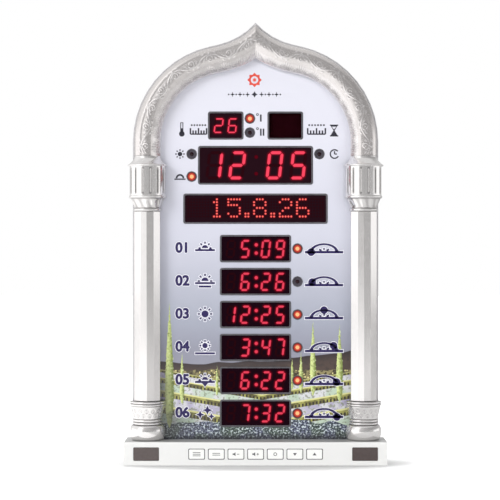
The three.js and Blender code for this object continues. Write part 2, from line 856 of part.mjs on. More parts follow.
function keySolid() {
  const front = baseFront - keyProud;
  const cap = slab(roundedRect(keyWidth, keyHeight, keyCorner), front, keyFlangeRear - front);
  const flange = block(
    keyWidth + 2 * keyFlange,
    keyFlangeThickness,
    keyHeight + 2 * keyFlange,
    0,
    keyFlangeFront,
    -keyHeight / 2 - keyFlange,
  );
  const stemDepth = switchFront + stemEngage - keyFlangeRear;
  const stem = bar(keyStemRadius, keyFlangeRear - meltIn, stemDepth + meltIn, 0, 0, pinSteps);
  return joined([cap, flange, stem]);
}

function keyBoardSolid() {
  const height = baseHeight - 2 * (baseWall + keyBoardMargin);
  const foot = baseWall + keyBoardMargin;
  const board = block(2 * keyBoardHalf, boardThickness, height, 0, keyBoardFront, foot);
  const switches = keyPlaces().map((x) =>
    block(switchWidth, switchHeight + meltIn, switchWidth, x, switchFront, keyZ - switchWidth / 2),
  );
  const wells = keyPlaces().map((x) => {
    const depth = stemEngage + keyTravel + seatGap + cutOver;
    return bar(keyStemRadius + seatGap, switchFront - cutOver, depth, x, keyZ, pinSteps);
  });
  const receiverFront = keyFlangeRear + seatGap;
  const sensors = [-1, 1].map((way) =>
    block(
      sensorBodyWidth,
      keyBoardFront - receiverFront + meltIn,
      sensorBodyHeight,
      way * columnX,
      receiverFront,
      keyZ - sensorBodyHeight / 2,
    ),
  );
  const pinHoles = [-1, 1].map((way) =>
    bar(
      keyBoardPinRadius + seatGap,
      keyBoardFront - cutOver,
      boardThickness + 2 * cutOver,
      way * keyBoardPostX,
      keyZ,
      pinSteps,
    ),
  );
  return cut(joined([board, ...switches, ...sensors]), [...wells, ...pinHoles]);
}

function sensorWindowSolid() {
  const front = baseFront + sensorSink;
  const pane = slab(
    roundedRect(sensorWidth, sensorHeight, sensorCorner),
    front,
    keyFlangeRear - front,
  );
  const flange = block(
    sensorWidth + 2 * keyFlange,
    keyFlangeThickness,
    sensorHeight + 2 * keyFlange,
    0,
    keyFlangeFront,
    -sensorHeight / 2 - keyFlange,
  );
  return pane.add(flange);
}

// The opening of a keyhole slot: a round entry below a narrow slot
function keyholeCutters(x, front, depth) {
  const z = baseHeight + keyholeRise;
  const shape = roundedRect(
    keyholeSlotWidth,
    keyholeSlotLength + keyholeSlotWidth,
    keyholeSlotWidth / 2,
    x,
    z + (keyholeSlotLength + keyholeSlotWidth) / 2,
  );
  return [bar(keyholeEntryRadius, front, depth, x, z), slab(shape, front, depth)];
}

// The closed pocket behind a keyhole slot, which keeps the wall screw's head off the board
function keyholePocket(x) {
  const z = baseHeight + keyholeRise;
  const room = keyholeEntryRadius + keyholePocketMargin;
  const width = 2 * room;
  const height = 2 * room + keyholeSlotLength + keyholeSlotWidth;
  const foot = z - room;
  const front = coverInner - keyholePocketDepth;
  const outer = block(width, keyholePocketDepth + meltIn, height, x, front, foot);
  const inner = block(
    width - 2 * pocketWall,
    keyholePocketDepth - pocketWall + meltIn,
    height - 2 * pocketWall,
    x,
    front + pocketWall,
    foot + pocketWall,
  );
  return { outer, inner: inner.subtract(block(width, coverWall, height, x, coverInner, foot)) };
}

const holderSide = 2 * (cellRadius + holderMargin);
const doorSide = holderSide + doorMargin;
const cellZ = baseHeight + cellRise;

function coverSolid() {
  const outline = arched(frameOffset, legFoot);
  const tray = slab(outline, coverFront, rearFace - coverFront);
  const inside = slab(
    arched(coverOffset, legFoot - cutOver),
    coverFront - cutOver,
    coverInner - coverFront + cutOver,
  );
  const apron = block(2 * (columnX + frameOffset), coverWall, baseHeight, 0, coverInner, 0);
  const wallDepth = coverWall + 2 * cutOver;
  const throughFront = coverInner - cutOver;
  const screws = [...frameScrews, ...baseScrews];
  const screwHoles = screws.flatMap(({ x, z }) => [
    bar(screwBore, throughFront, wallDepth, x, z, pinSteps),
    bar(screwHeadRadius + seatGap, screwSeat, coverWall, x, z, lampSteps),
  ]);
  const clamps = boardPosts.map(({ x, z }) =>
    bar(
      boardPostRadius,
      boardRear + seatGap,
      coverInner + meltIn - boardRear - seatGap,
      x,
      z,
    ),
  );
  const pockets = [-1, 1].map((side) => keyholePocket((side * keyholeSpan) / 2));
  const keyholes = [-1, 1].flatMap((side) =>
    keyholeCutters((side * keyholeSpan) / 2, throughFront, wallDepth),
  );
  const ring = bar(
    speakerFlangeRadius + seatGap + speakerRingWall,
    coverInner - speakerRingHeight,
    speakerRingHeight + meltIn,
    0,
    speakerZ,
    turnedSteps,
  ).subtract(
    bar(
      speakerFlangeRadius + seatGap,
      coverInner - speakerRingHeight - cutOver,
      speakerRingHeight + cutOver,
      0,
      speakerZ,
      turnedSteps,
    ),
  );
  const grille = [];
  for (let i = 0; i < grilleSlotCount; i++) {
    const lift = (i - (grilleSlotCount - 1) / 2) * grillePitch;
    const length = 2 * Math.sqrt(Math.max(speakerBasketRadius ** 2 - lift ** 2, lift ** 2 / 4));
    const shape = slotShape(length, grilleSlotWidth, 0, speakerZ + lift);
    grille.push(slab(shape, throughFront, wallDepth));
  }
  const vents = [];
  for (let i = 0; i < ventCount; i++) {
    const shape = slotShape(ventLength, ventWidth, 0, baseHeight + ventRise + i * ventPitch);
    vents.push(slab(shape, throughFront, wallDepth));
  }
  const doorHole = block(doorSide, wallDepth, doorSide, 0, throughFront, cellZ - doorSide / 2);
  const doorRim = doorSide + 2 * doorFlange;
  const doorRecess = block(
    doorRim,
    doorStep + cutOver,
    doorRim,
    0,
    rearFace - doorStep,
    cellZ - doorRim / 2,
  );
  const jackHole = bar(jackBarrelRadius + seatGap, throughFront, wallDepth, -jackOffset, keyZ);
  const shell = tray.subtract(inside).add(apron);
  const body = joined([shell, ...clamps, ring, ...pockets.map(({ outer }) => outer)]);
  return cut(body, [
    ...pockets.map(({ inner }) => inner),
    ...screwHoles,
    ...keyholes,
    ...grille,
    ...vents,
    doorHole,
    doorRecess,
    jackHole,
  ]);
}

function doorSolid() {
  const rim = doorSide + 2 * doorFlange - 2 * seatGap;
  const plug = doorSide - 2 * seatGap;
  const leaf = block(rim, doorStep - seatGap, rim, 0, rearFace - doorStep + seatGap, -rim / 2);
  const insert = block(plug, coverWall, plug, 0, coverInner, -plug / 2);
  return leaf.add(insert.subtract(block(rim, doorStep, rim, 0, rearFace - seatGap / 2, -rim / 2)));
}

function holderSolid() {
  const front = boardRear + seatGap;
  const depth = holderFloor + seatGap + cellThickness;
  const body = block(holderSide, depth, holderSide, 0, front, -holderSide / 2);
  const well = bar(cellRadius + seatGap, front + holderFloor, depth, 0, 0, turnedSteps);
  return body.subtract(well);
}

function cellSolid() {
  const front = boardRear + seatGap + holderFloor + seatGap;
  return bar(cellRadius, front, cellThickness, 0, 0, turnedSteps);
}

function jackSolid() {
  const bodyRear = coverInner - seatGap;
  const body = block(
    jackBodyWidth + meltIn,
    jackBodyDepth,
    jackBodyHeight,
    0,
    bodyRear - jackBodyDepth,
    -jackBodyHeight / 2,
  );
  const barrelRear = rearFace - screwSink;
  const barrel = bar(jackBarrelRadius, bodyRear - meltIn, barrelRear - bodyRear + meltIn);
  const bore = bar(jackBoreRadius, barrelRear - jackBoreDepth, jackBoreDepth + cutOver);
  const pin = bar(
    jackPinRadius,
    barrelRear - jackBoreDepth - meltIn,
    jackBoreDepth,
    0,
    0,
    pinSteps,
  );
  return body.add(barrel).subtract(bore).add(pin);
}

// The speaker looks out of the back: flange at the grille, magnet towards the face
function speakerGeometry() {
  const coneDepth = speakerDepth - speakerMagnetDepth - speakerFlange;
  const profile = new Profile(speakerMagnetRadius)
    .to(speakerMagnetRadius, speakerMagnetDepth)
    .cove(speakerMagnetRadius, speakerBasketRadius, coneDepth)
    .to(speakerFlangeRadius)
    .to(speakerFlangeRadius, speakerFlange)
    .to(speakerBasketRadius)
    .to(speakerMagnetRadius / 2, -coneDepth);
  return turned(profile, turnedSteps).translate(0, coverInner - seatGap - speakerDepth, 0);
}

function finish(color, roughness, metalness, extra = {}) {
  return new THREE.MeshStandardMaterial({ color, roughness, metalness, ...extra });
}

const silverSatin = finish(0xbdb9b8, 0.34, 0.9);
const silverPlate = finish(0xc6c3c2, 0.2, 1);
const silverPaint = finish(0xb9b8ba, 0.42, 0.6);
const pearl = finish(0xf1f2f0, 0.38, 0.05);
const caseGrey = finish(0x8f9092, 0.6, 0);
const printedFace = finish(0xdcdce8, 0.22, 0);
const maskGrey = finish(0x4a4a4f, 0.45, 0);
const redSmoke = finish(0x2a0409, 0.12, 0, { transparent: true, opacity: 0.7 });
const moduleBlack = finish(0x16090c, 0.4, 0);
const boardGreen = finish(0x1d5b38, 0.5, 0);
const lampRed = finish(0xd8321e, 0.2, 0);
const keyWhite = finish(0xf4f4f2, 0.4, 0);
const smokedWindow = finish(0x4f4442, 0.15, 0);
const speakerBlack = finish(0x1b1b1d, 0.6, 0.1);
const steel = finish(0xa9abae, 0.3, 1);
const jackBlack = finish(0x121214, 0.45, 0);

const clock = new THREE.Group();

function place(parent, name, geometry, material, x = 0, y = 0, z = 0) {
  const mesh = new THREE.Mesh(geometry, material);
  mesh.name = name;
  mesh.position.set(x, y, z);
  parent.add(mesh);
}

// The case: base, frame, mouldings and rear cover
const casing = new THREE.Group();
clock.add(casing);
place(casing, "base_housing", geometryOf(baseSolid()), pearl);
place(casing, "front_frame", geometryOf(frameSolid()), silverPaint);
place(casing, "rear_cover", geometryOf(coverSolid()), caseGrey);
place(casing, "arch_moulding", geometryOf(archSolid()), silverSatin);
const pedestal = geometryOf(pedestalSolid());
const shaft = geometryOf(shaftSolid());
const capital = geometryOf(capitalSolid());
for (const [side, way] of [
  ["left", -1],
  ["right", 1],
]) {
  const column = new THREE.Group();
  column.position.set(way * columnX, frameFront, 0);
  casing.add(column);
  place(column, `pedestal_${side}`, pedestal, silverPlate, 0, 0, pedestalFoot);
  place(column, `column_shaft_${side}`, shaft, silverSatin, 0, 0, shaftFoot);
  place(column, `capital_${side}`, capital, silverPlate, 0, 0, capitalFoot);
}

// The face and everything that lights it
const face = new THREE.Group();
clock.add(face);
place(face, "front_panel", geometryOf(panelSolid()), printedFace);
place(face, "display_mask", geometryOf(maskSolid()), maskGrey);
place(face, "main_board", geometryOf(mainBoardSolid()), boardGreen);
for (const { name, width, height, x, z } of displays) {
  const label = name === "message" ? "message_matrix" : `${name}_digits`;
  place(face, label, geometryOf(moduleSolid(width, height)), moduleBlack, x, 0, z);
  if (!name.startsWith("row")) {
    place(face, `${name}_filter`, geometryOf(filterSolid(width, height)), redSmoke, x, 0, z);
  }
}
const rowsHeight = rowsTop - baseHeight - bottomMargin;
const rowsZ = rowsTop - rowsHeight / 2;
place(face, "rows_filter", geometryOf(filterSolid(rowWidth, rowsHeight)), redSmoke, 0, 0, rowsZ);
const lamp = lampGeometry();
for (const { name, x, z } of lamps) {
  place(face, `lamp_${name}`, lamp, lampRed, x, 0, z);
}

// The keypad and the two sensors in the base
const keypad = new THREE.Group();
clock.add(keypad);
place(keypad, "key_board", geometryOf(keyBoardSolid()), boardGreen);
const key = geometryOf(keySolid());
const keyNames = ["mode", "alarm", "volume_down", "volume_up", "set", "down", "up"];
keyPlaces().forEach((x, i) => place(keypad, `key_${keyNames[i]}`, key, keyWhite, x, 0, keyZ));
const pane = geometryOf(sensorWindowSolid());
place(keypad, "remote_window", pane, smokedWindow, -columnX, 0, keyZ);
place(keypad, "light_window", pane, smokedWindow, columnX, 0, keyZ);

// What the rear cover carries
const rear = new THREE.Group();
clock.add(rear);
place(rear, "speaker", speakerGeometry(), speakerBlack, 0, 0, speakerZ);
place(rear, "cell_holder", geometryOf(holderSolid()), jackBlack, 0, 0, cellZ);
place(rear, "backup_cell", geometryOf(cellSolid()), steel, 0, 0, cellZ);
place(rear, "battery_door", geometryOf(doorSolid()), caseGrey, 0, 0, cellZ);
place(rear, "power_inlet", geometryOf(jackSolid()), jackBlack, -jackOffset, 0, keyZ);
const screw = geometryOf(screwSolid());
[...frameScrews, ...baseScrews].forEach(({ x, z }, i) =>
  place(rear, `cover_screw_${i + 1}`, screw, steel, x, 0, z),
);

export default clock;
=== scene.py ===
"""The looks of an arched digital prayer-time clock: silver mouldings, printed face, red displays."""

import math

import bmesh
import bpy
from mathutils import Matrix, Vector


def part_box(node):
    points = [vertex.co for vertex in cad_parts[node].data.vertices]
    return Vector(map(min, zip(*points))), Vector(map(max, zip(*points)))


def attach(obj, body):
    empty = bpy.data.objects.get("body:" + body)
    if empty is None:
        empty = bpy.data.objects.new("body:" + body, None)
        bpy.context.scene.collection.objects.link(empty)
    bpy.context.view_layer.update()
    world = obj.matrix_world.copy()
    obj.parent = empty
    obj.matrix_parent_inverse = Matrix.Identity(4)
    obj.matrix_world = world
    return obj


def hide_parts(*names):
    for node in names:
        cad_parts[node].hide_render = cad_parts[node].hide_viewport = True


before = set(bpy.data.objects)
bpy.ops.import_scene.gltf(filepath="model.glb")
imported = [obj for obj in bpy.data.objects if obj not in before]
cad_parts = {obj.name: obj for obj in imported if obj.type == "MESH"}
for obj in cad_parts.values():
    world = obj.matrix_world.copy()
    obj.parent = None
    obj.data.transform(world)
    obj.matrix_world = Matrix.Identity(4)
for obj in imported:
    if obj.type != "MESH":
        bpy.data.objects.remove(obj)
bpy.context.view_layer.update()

MM = 0.001
BODY = "clock"

# The arch's line, repeated from the part's source, in millimetres
COLUMN_X = 146.5
MOULDING_RADIUS = 17.7
SPRINGING = 416.6
ARCH_STRAIGHT = 19.2
HAUNCH_RADIUS = 112.7
SHOULDER_RUN = 12.0
POINT_RADIUS = 116.2
SHOULDER_ANGLE = math.radians(12.5)
ARCH_SHOULDER = 10.0
ARCH_SLOPE = 12.5
ARCH_LIP = 4.0
ARCH_CROWN = 1.2

# Planes, front to back, in millimetres
BASE_FRONT = -30.4
KEY_FRONT = -31.0
FRAME_FRONT = 1.0
SEAT_GAP = 0.3
RIM_FRONT = 3.9
PANEL_FRONT = 4.3
MASK_FRONT = 6.6
MODULE_FRONT = 9.7
REAR_FACE = 31.0
PRINT_STEP = 0.05
PRINT_THICKNESS = 0.03

# The photograph's frame: millimetres for one pixel at the face, and the face's middle
PIXEL = 1.36
MIDDLE_COLUMN = 255.5
MIDDLE_ROW = 250.0
MIDDLE_HEIGHT = 289.2

# Lays what was made flat upright, so that its top faces the front
UPRIGHT = Matrix.Rotation(math.pi / 2, 4, "X")


def at(x, y, z):
    """A point given in millimetres."""
    return Vector((x, y, z)) * MM


def face_x(column):
    """Where a column of the photograph falls on the face, in millimetres."""
    return (column - MIDDLE_COLUMN) * PIXEL


def face_z(row):
    """Where a row of the photograph falls on the face, in millimetres."""
    return MIDDLE_HEIGHT + (MIDDLE_ROW - row) * PIXEL


def node_box(name):
    """A node's lowest and highest corner in millimetres."""
    low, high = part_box(name)
    return low / MM, high / MM


def node_middle(name):
    """The middle of a node's box, across and up, in millimetres."""
    low, high = node_box(name)
    return (low.x + high.x) / 2, (low.z + high.z) / 2


# Modelling helpers


def add_object(name, data):
    """A new object in the scene."""
    piece = bpy.data.objects.new(name, data)
    bpy.context.scene.collection.objects.link(piece)
    return piece


def only(piece):
    """Makes one piece the selected and active one."""
    bpy.ops.object.select_all(action="DESELECT")
    piece.select_set(True)
    bpy.context.view_layer.objects.active = piece


def open_mesh(piece, mode="FACE"):
    """Opens a piece's mesh for edits, with all of it selected."""
    only(piece)
    bpy.ops.object.mode_set(mode="EDIT")
    bpy.ops.mesh.select_mode(type=mode)
    bpy.ops.mesh.select_all(action="SELECT")


def close_mesh():
    bpy.ops.object.mode_set(mode="OBJECT")


def inset(width):
    """In edit mode, draws the selected faces in from their rim."""
    bpy.ops.mesh.inset(thickness=width * MM)


def extrude(x=0.0, y=0.0, z=0.0):
    """In edit mode, pulls the selected faces out."""
    bpy.ops.mesh.extrude_region_move(TRANSFORM_OT_translate={"value": (x * MM, y * MM, z * MM)})


def pick(piece, kind, wanted):
    """In edit mode, selects the faces or edges that pass the test."""
    bpy.ops.mesh.select_all(action="DESELECT")
    mesh = bmesh.from_edit_mesh(piece.data)
    for item in getattr(mesh, kind):
        if wanted(item):
            item.select_set(True)
    bmesh.update_edit_mesh(piece.data)


def faces_front(face):
    return face.normal.y < -0.9


def faces_back(face):
    return face.normal.y > 0.9


def faces_up(face):
    return face.normal.z > 0.9


def modify(piece, kind, **settings):
    """Adds a modifier and applies it."""
    only(piece)
    modifier = piece.modifiers.new(kind.title(), kind)
    for name, value in settings.items():
        setattr(modifier, name, value)
    bpy.ops.object.modifier_apply(modifier=modifier.name)


def outward(piece):
    """Turns every face of a closed piece outwards."""
    open_mesh(piece)
    bpy.ops.mesh.normals_make_consistent(inside=False)
    close_mesh()


def joined(pieces):
    """Several pieces as one object."""
    only(pieces[0])
    for piece in pieces:
        piece.select_set(True)
    bpy.ops.object.join()
    return bpy.context.view_layer.objects.active


def copy_of(piece, move=(0, 0, 0)):
    """A copy with its own mesh, moved by millimetres."""
    twin = add_object(piece.name, piece.data.copy())
    twin.data.transform(Matrix.Translation(at(*move)))
    return twin


def cad_copy(node):
    """A node's mesh in a new object, with its corners merged and its flat faces whole."""
    twin = add_object(node + "_finished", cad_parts[node].data.copy())
    only(twin)
    bpy.ops.mesh.customdata_custom_splitnormals_clear()
    open_mesh(twin)
    bpy.ops.mesh.remove_doubles(threshold=0.002 * MM)
    bpy.ops.mesh.dissolve_limited(angle_limit=math.radians(0.5))
    close_mesh()
    return twin


def store(piece, name, values):
    """Keeps a value for each vertex, for the finishes to read."""
    piece.data.attributes.new(name, "FLOAT", "POINT").data.foreach_set("value", values)


SHARP_ANGLE = math.radians(24)


def round_edges(piece, wanted, width, segments=3):
    """Rounds the sharp edges whose two ends pass the test."""

    def picked(edge):
        sharp = len(edge.link_faces) == 2 and edge.calc_face_angle() > SHARP_ANGLE
        return sharp and all(wanted(*(vertex.co / MM)) for vertex in edge.verts)

    open_mesh(piece, "EDGE")
    pick(piece, "edges", picked)
    bpy.ops.mesh.bevel(offset=width * MM, segments=segments, affect="EDGES", clamp_overlap=True)
    close_mesh()


def subtract(piece, cutter):
    """Cuts one piece out of another and deletes the cutter."""
    modify(piece, "BOOLEAN", operation="DIFFERENCE", object=cutter, solver="EXACT")
    bpy.data.objects.remove(cutter)


def dress(piece, name, finish, body=BODY, stands_for=(), smooth=30):
    """Names a finished piece, gives it its finish and lets it ride on its body."""
    piece.name = name
    piece.data.name = name
    piece.data.materials.clear()
    piece.data.materials.append(finish)
    only(piece)
    bpy.ops.object.transform_apply(location=True, rotation=True, scale=True)
    bpy.ops.object.shade_smooth_by_angle(angle=math.radians(smooth))
    modify(piece, "WEIGHTED_NORMAL", keep_sharp=True)
    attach(piece, body)
    if stands_for:
        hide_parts(*stands_for)
    return piece


def box_piece(width, depth, height, x, y, z):
    """A block round a centre, all in millimetres."""
    bpy.ops.mesh.primitive_cube_add(size=1, location=at(x, y, z))
    piece = bpy.context.object
    piece.scale = at(width, depth, height)
    only(piece)
    bpy.ops.object.transform_apply(location=True, rotation=False, scale=True)
    return piece


def rod(radius, front, rear, x, z, steps=32):
    """A round bar along Y."""
    place = at(x, (front + rear) / 2, z)
    bpy.ops.mesh.primitive_cylinder_add(
        vertices=steps,
        radius=radius * MM,
        depth=(rear - front) * MM,
        location=place,
        rotation=(math.pi / 2, 0, 0),
    )
    piece = bpy.context.object
    bpy.ops.object.transform_apply(location=True, rotation=True, scale=True)
    return piece


class Rings:
    """The side view of a turned piece as rings of radius and height, from its foot upwards."""

    def __init__(self, radius):
        self.height = 0.0
        self.rings = [(radius, 0.0)]

    def to(self, radius, rise=0.0, steps=1):
        """A straight stretch; without a rise it is a flat step in or out."""
        start = self.rings[-1][0]
        for step in range(1, steps + 1):
            share = step / steps
            self.rings.append((start + (radius - start) * share, self.height + rise * share))
        self.height += rise
        return self

    def bead(self, neck, radius, rise, steps=10, belly=0.5):
        """A swelling between two necks, widest at the belly's share of its height."""
        self.to(neck)
        for step in range(1, steps + 1):
            share = step / steps
            lift = (1 - math.cos(math.pi * share)) / 2
            turn = lift / belly if lift < belly else (1 - lift) / (1 - belly)
            out = math.sqrt(max(0.0, 1 - (1 - min(1.0, turn)) ** 2))
            self.rings.append((neck + (radius - neck) * out, self.height + rise * lift))
        self.height += rise
        return self

    def cove(self, start, end, rise, steps=20):
        """A hollow curve, steep at the smaller radius."""
        self.to(start)
        for step in range(1, steps + 1):
            share = step / steps
            turn = share * math.pi / 2
            bow = 1 - math.cos(turn) if end > start else math.sin(turn)
            self.rings.append((start + (end - start) * bow, self.height + rise * share))
        self.height += rise
        return self


def turned(rings, steps):
    """Turns rings into a closed solid that stands on the origin."""
    radius, height = rings[0]
    bpy.ops.mesh.primitive_circle_add(vertices=steps, radius=radius * MM, fill_type="NGON")
    piece = bpy.context.object
    open_mesh(piece)
    for next_radius, next_height in rings[1:]:
        extrude(z=next_height - height)
        if abs(next_radius - radius) > 1e-6:
            share = next_radius / radius
            middle = (0, 0, next_height * MM)
            bpy.ops.transform.resize(value=(share, share, 1), center_override=middle)
        radius, height = next_radius, next_height
    close_mesh()
    outward(piece)
    return piece


def facing_front(piece, x, rear, z):
    """Lays a piece that was turned along Z down, so that it grows towards the front from a plane."""
    piece.data.transform(Matrix.Translation(at(x, rear, z)) @ UPRIGHT)
    return piece


# Finishes


def make_group(name, inputs, outputs):
    """A shader node group with named sockets, and its two ends."""
    group = bpy.data.node_groups.new(name, "ShaderNodeTree")
    for label, kind, value in inputs:
        socket = group.interface.new_socket(label, in_out="INPUT", socket_type=kind)
        if value is not None:
            socket.default_value = value
    for label, kind in outputs:
        group.interface.new_socket(label, in_out="OUTPUT", socket_type=kind)
    return group, group.nodes.new("NodeGroupInput"), group.nodes.new("NodeGroupOutput")


def node_in(tree, kind, values=None, **settings):
    """A node with its settings, and with values or links on its inputs."""
    made = tree.nodes.new(kind)
    for name, value in settings.items():
        setattr(made, name, value)
    for key, value in (values or {}).items():
        if isinstance(value, bpy.types.NodeSocket):
            tree.links.new(value, made.inputs[key])
        else:
            made.inputs[key].default_value = value
    return made


def maths(tree, operation, *terms):
    """One step of arithmetic on values or links."""
    made = node_in(tree, "ShaderNodeMath", dict(enumerate(terms)), operation=operation)
    return made.outputs[0]


def blend_colours(tree, share, first, second):
    """From the first colour to the second as the share goes from none to one."""
    values = {0: share, 6: first, 7: second}
    return node_in(tree, "ShaderNodeMix", values, data_type="RGBA").outputs[2]


def spread(tree, value, low, high, start=0.0, end=1.0, smooth=True):
    """A value carried from one range to another, held at both ends."""
    kind = "SMOOTHSTEP" if smooth else "LINEAR"
    values = {"Value": value, "From Min": low, "From Max": high, "To Min": start, "To Max": end}
    return node_in(tree, "ShaderNodeMapRange", values, interpolation_type=kind).outputs["Result"]


def noise(tree, place, scale, detail=3.0):
    """Cloudy noise, from about none to one."""
    values = {"Vector": place, "Scale": scale, "Detail": detail}
    return node_in(tree, "ShaderNodeTexNoise", values).outputs["Fac"]


def ramp(tree, place, stops):
    """A run of colours along a value from none to one."""
    made = node_in(tree, "ShaderNodeValToRGB", {"Fac": place})
    elements = made.color_ramp.elements
    while len(elements) < len(stops):
        elements.new(0.5)
    for element, (position, tint) in zip(elements, stops):
        element.position = position
        element.color = tint
    return made.outputs["Color"]


def texture(tree, shader, height, strength, depth):
    """Gives a finish its fine relief, as deep as is asked in millimetres."""
    values = {"Height": height, "Strength": strength, "Distance": depth * MM}
    raised = node_in(tree, "ShaderNodeBump", values)
    tree.links.new(raised.outputs["Normal"], shader.inputs["Normal"])


def grain_group():
    """Fine even grain: a mask and a height."""
    sockets = [
        ("Place", "NodeSocketVector", None),
        ("Scale", "NodeSocketFloat", 900.0),
        ("Rough Share", "NodeSocketFloat", 0.6),
    ]
    group, start, end = make_group(
        "fine_grain", sockets, [("Mask", "NodeSocketFloat"), ("Height", "NodeSocketFloat")]
    )
    place, scale = start.outputs["Place"], start.outputs["Scale"]
    fine = noise(group, place, scale)
    coarse = noise(group, place, maths(group, "MULTIPLY", scale, 0.12), 2.0)
    mixed = node_in(group, "ShaderNodeMix", {0: start.outputs["Rough Share"], 2: coarse, 3: fine})
    group.links.new(spread(group, mixed.outputs[0], 0.3, 0.7), end.inputs["Mask"])
    group.links.new(fine, end.inputs["Height"])
    return group


def sharp_corner_group():
    """Where sharp corners turn lighter, in broken patches."""
    sockets = [("Place", "NodeSocketVector", None), ("Reach", "NodeSocketFloat", 0.06)]
    group, start, end = make_group("lighter_sharp_corners", sockets, [("Mask", "NodeSocketFloat")])
    shape = group.nodes.new("ShaderNodeNewGeometry")
    top = maths(group, "ADD", start.outputs["Reach"], 0.5)
    corner = spread(group, shape.outputs["Pointiness"], 0.51, top)
    broken = spread(group, noise(group, start.outputs["Place"], 140.0), 0.35, 0.6)
    group.links.new(maths(group, "MULTIPLY", corner, broken), end.inputs["Mask"])
    return group


def streak_group():
    """Long faint streaks, as moulded or buffed metal has."""
    sockets = [
        ("Place", "NodeSocketVector", None),
        ("Stretch", "NodeSocketVector", (900.0, 900.0, 20.0)),
    ]
    group, start, end = make_group(
        "buffing_streaks", sockets, [("Mask", "NodeSocketFloat"), ("Height", "NodeSocketFloat")]
    )
    values = {0: start.outputs["Place"], 1: start.outputs["Stretch"]}
    drawn = node_in(group, "ShaderNodeVectorMath", values, operation="MULTIPLY")
    lines = noise(group, drawn.outputs[0], 1.0, 2.0)
    group.links.new(spread(group, lines, 0.3, 0.7), end.inputs["Mask"])
    group.links.new(lines, end.inputs["Height"])
    return group


GRAIN = grain_group()
SHARP_CORNERS = sharp_corner_group()
STREAKS = streak_group()


def use_group(tree, group, place, **values):
    """Places a shared effect in a material, with its own values."""
    made = tree.nodes.new("ShaderNodeGroup")
    made.node_tree = group
    tree.links.new(place, made.inputs["Place"])
    for name, value in values.items():
        made.inputs[name.replace("_", " ").title()].default_value = value
    return made


BLACK = (0, 0, 0, 1)
WHITE = (1, 1, 1, 1)


def colour(red, green, blue):
    """A colour given as 0 to 255 on screen, as linear light."""
    shares = [value / 255 for value in (red, green, blue)]
    linear = [s / 12.92 if s <= 0.04045 else ((s + 0.055) / 1.055) ** 2.4 for s in shares]
    return (*linear, 1.0)


def start_material(name, roughness, metallic=0.0, coat=0.0, gleam=0.5):
    """A new material with its tree, its shader and the object's own coordinates."""
    made = bpy.data.materials.new(name)
    made.use_nodes = True
    tree = made.node_tree
    shader = tree.nodes["Principled BSDF"]
    shader.inputs["Roughness"].default_value = roughness
    shader.inputs["Metallic"].default_value = metallic
    shader.inputs["Coat Weight"].default_value = coat
    shader.inputs["Coat Roughness"].default_value = 0.08
    shader.inputs["Specular IOR Level"].default_value = gleam
    place = tree.nodes.new("ShaderNodeTexCoord").outputs["Object"]
    return made, tree, shader, place


def surface(
    name, base, shade, roughness, metallic=0.0, coat=0.0, gleam=0.5, grain=900.0, bump=0.006,
    rough_spread=0.06, streaks=None, sharp_corner_tone=None, recess_shade=None,
):
    """A finish with grain in its colour, gloss and relief, and on top streaks, lighter sharp corners or
    painted shade in hollows.
    """
    base, shade = colour(*base), colour(*shade)
    made, tree, shader, place = start_material(name, roughness, metallic, coat, gleam)
    fine = use_group(tree, GRAIN, place, scale=grain)
    tone = blend_colours(tree, fine.outputs["Mask"], shade, base)
    height = fine.outputs["Height"]
    if streaks:
        drawn = use_group(tree, STREAKS, place, stretch=streaks)
        share = maths(tree, "MULTIPLY", drawn.outputs["Mask"], 0.5)
        tone = blend_colours(tree, share, tone, shade)
        height = maths(tree, "ADD", height, drawn.outputs["Height"])
    # Painted shade: darker in hollows and on the base's top, as the stored value says
    if recess_shade:
        relief = node_in(tree, "ShaderNodeAttribute", attribute_name="relief").outputs["Fac"]
        depth = spread(tree, relief, 0.15, 0.7, 1.0, 0.0)
        tone = blend_colours(tree, maths(tree, "MULTIPLY", depth, 0.8), tone, colour(*recess_shade))
    # Lighter on sharp corners, in broken patches
    if sharp_corner_tone:
        cornered = use_group(tree, SHARP_CORNERS, place)
        tone = blend_colours(tree, cornered.outputs["Mask"], tone, colour(*sharp_corner_tone))
    tree.links.new(tone, shader.inputs["Base Color"])
    gloss = spread(
        tree, fine.outputs["Mask"], 0.0, 1.0, roughness - rough_spread, roughness + rough_spread
    )
    tree.links.new(gloss, shader.inputs["Roughness"])
    texture(tree, shader, height, 0.5, bump)
    return made


def glowing(name, dim, bright):
    """A lit surface whose light falls off from its middle to its rim."""
    made, tree, shader, place = start_material(name, 0.4, gleam=0.0)
    share = node_in(tree, "ShaderNodeAttribute", attribute_name="glow").outputs["Fac"]
    fine = use_group(tree, GRAIN, place, scale=1500.0)
    patch = spread(tree, fine.outputs["Mask"], 0.0, 1.0, 0.94, 1.0)
    lit = blend_colours(tree, maths(tree, "MULTIPLY", share, patch), dim, bright)
    tree.links.new(lit, shader.inputs["Emission Color"])
    shader.inputs["Emission Strength"].default_value = 1.0
    shader.inputs["Base Color"].default_value = BLACK
    return made


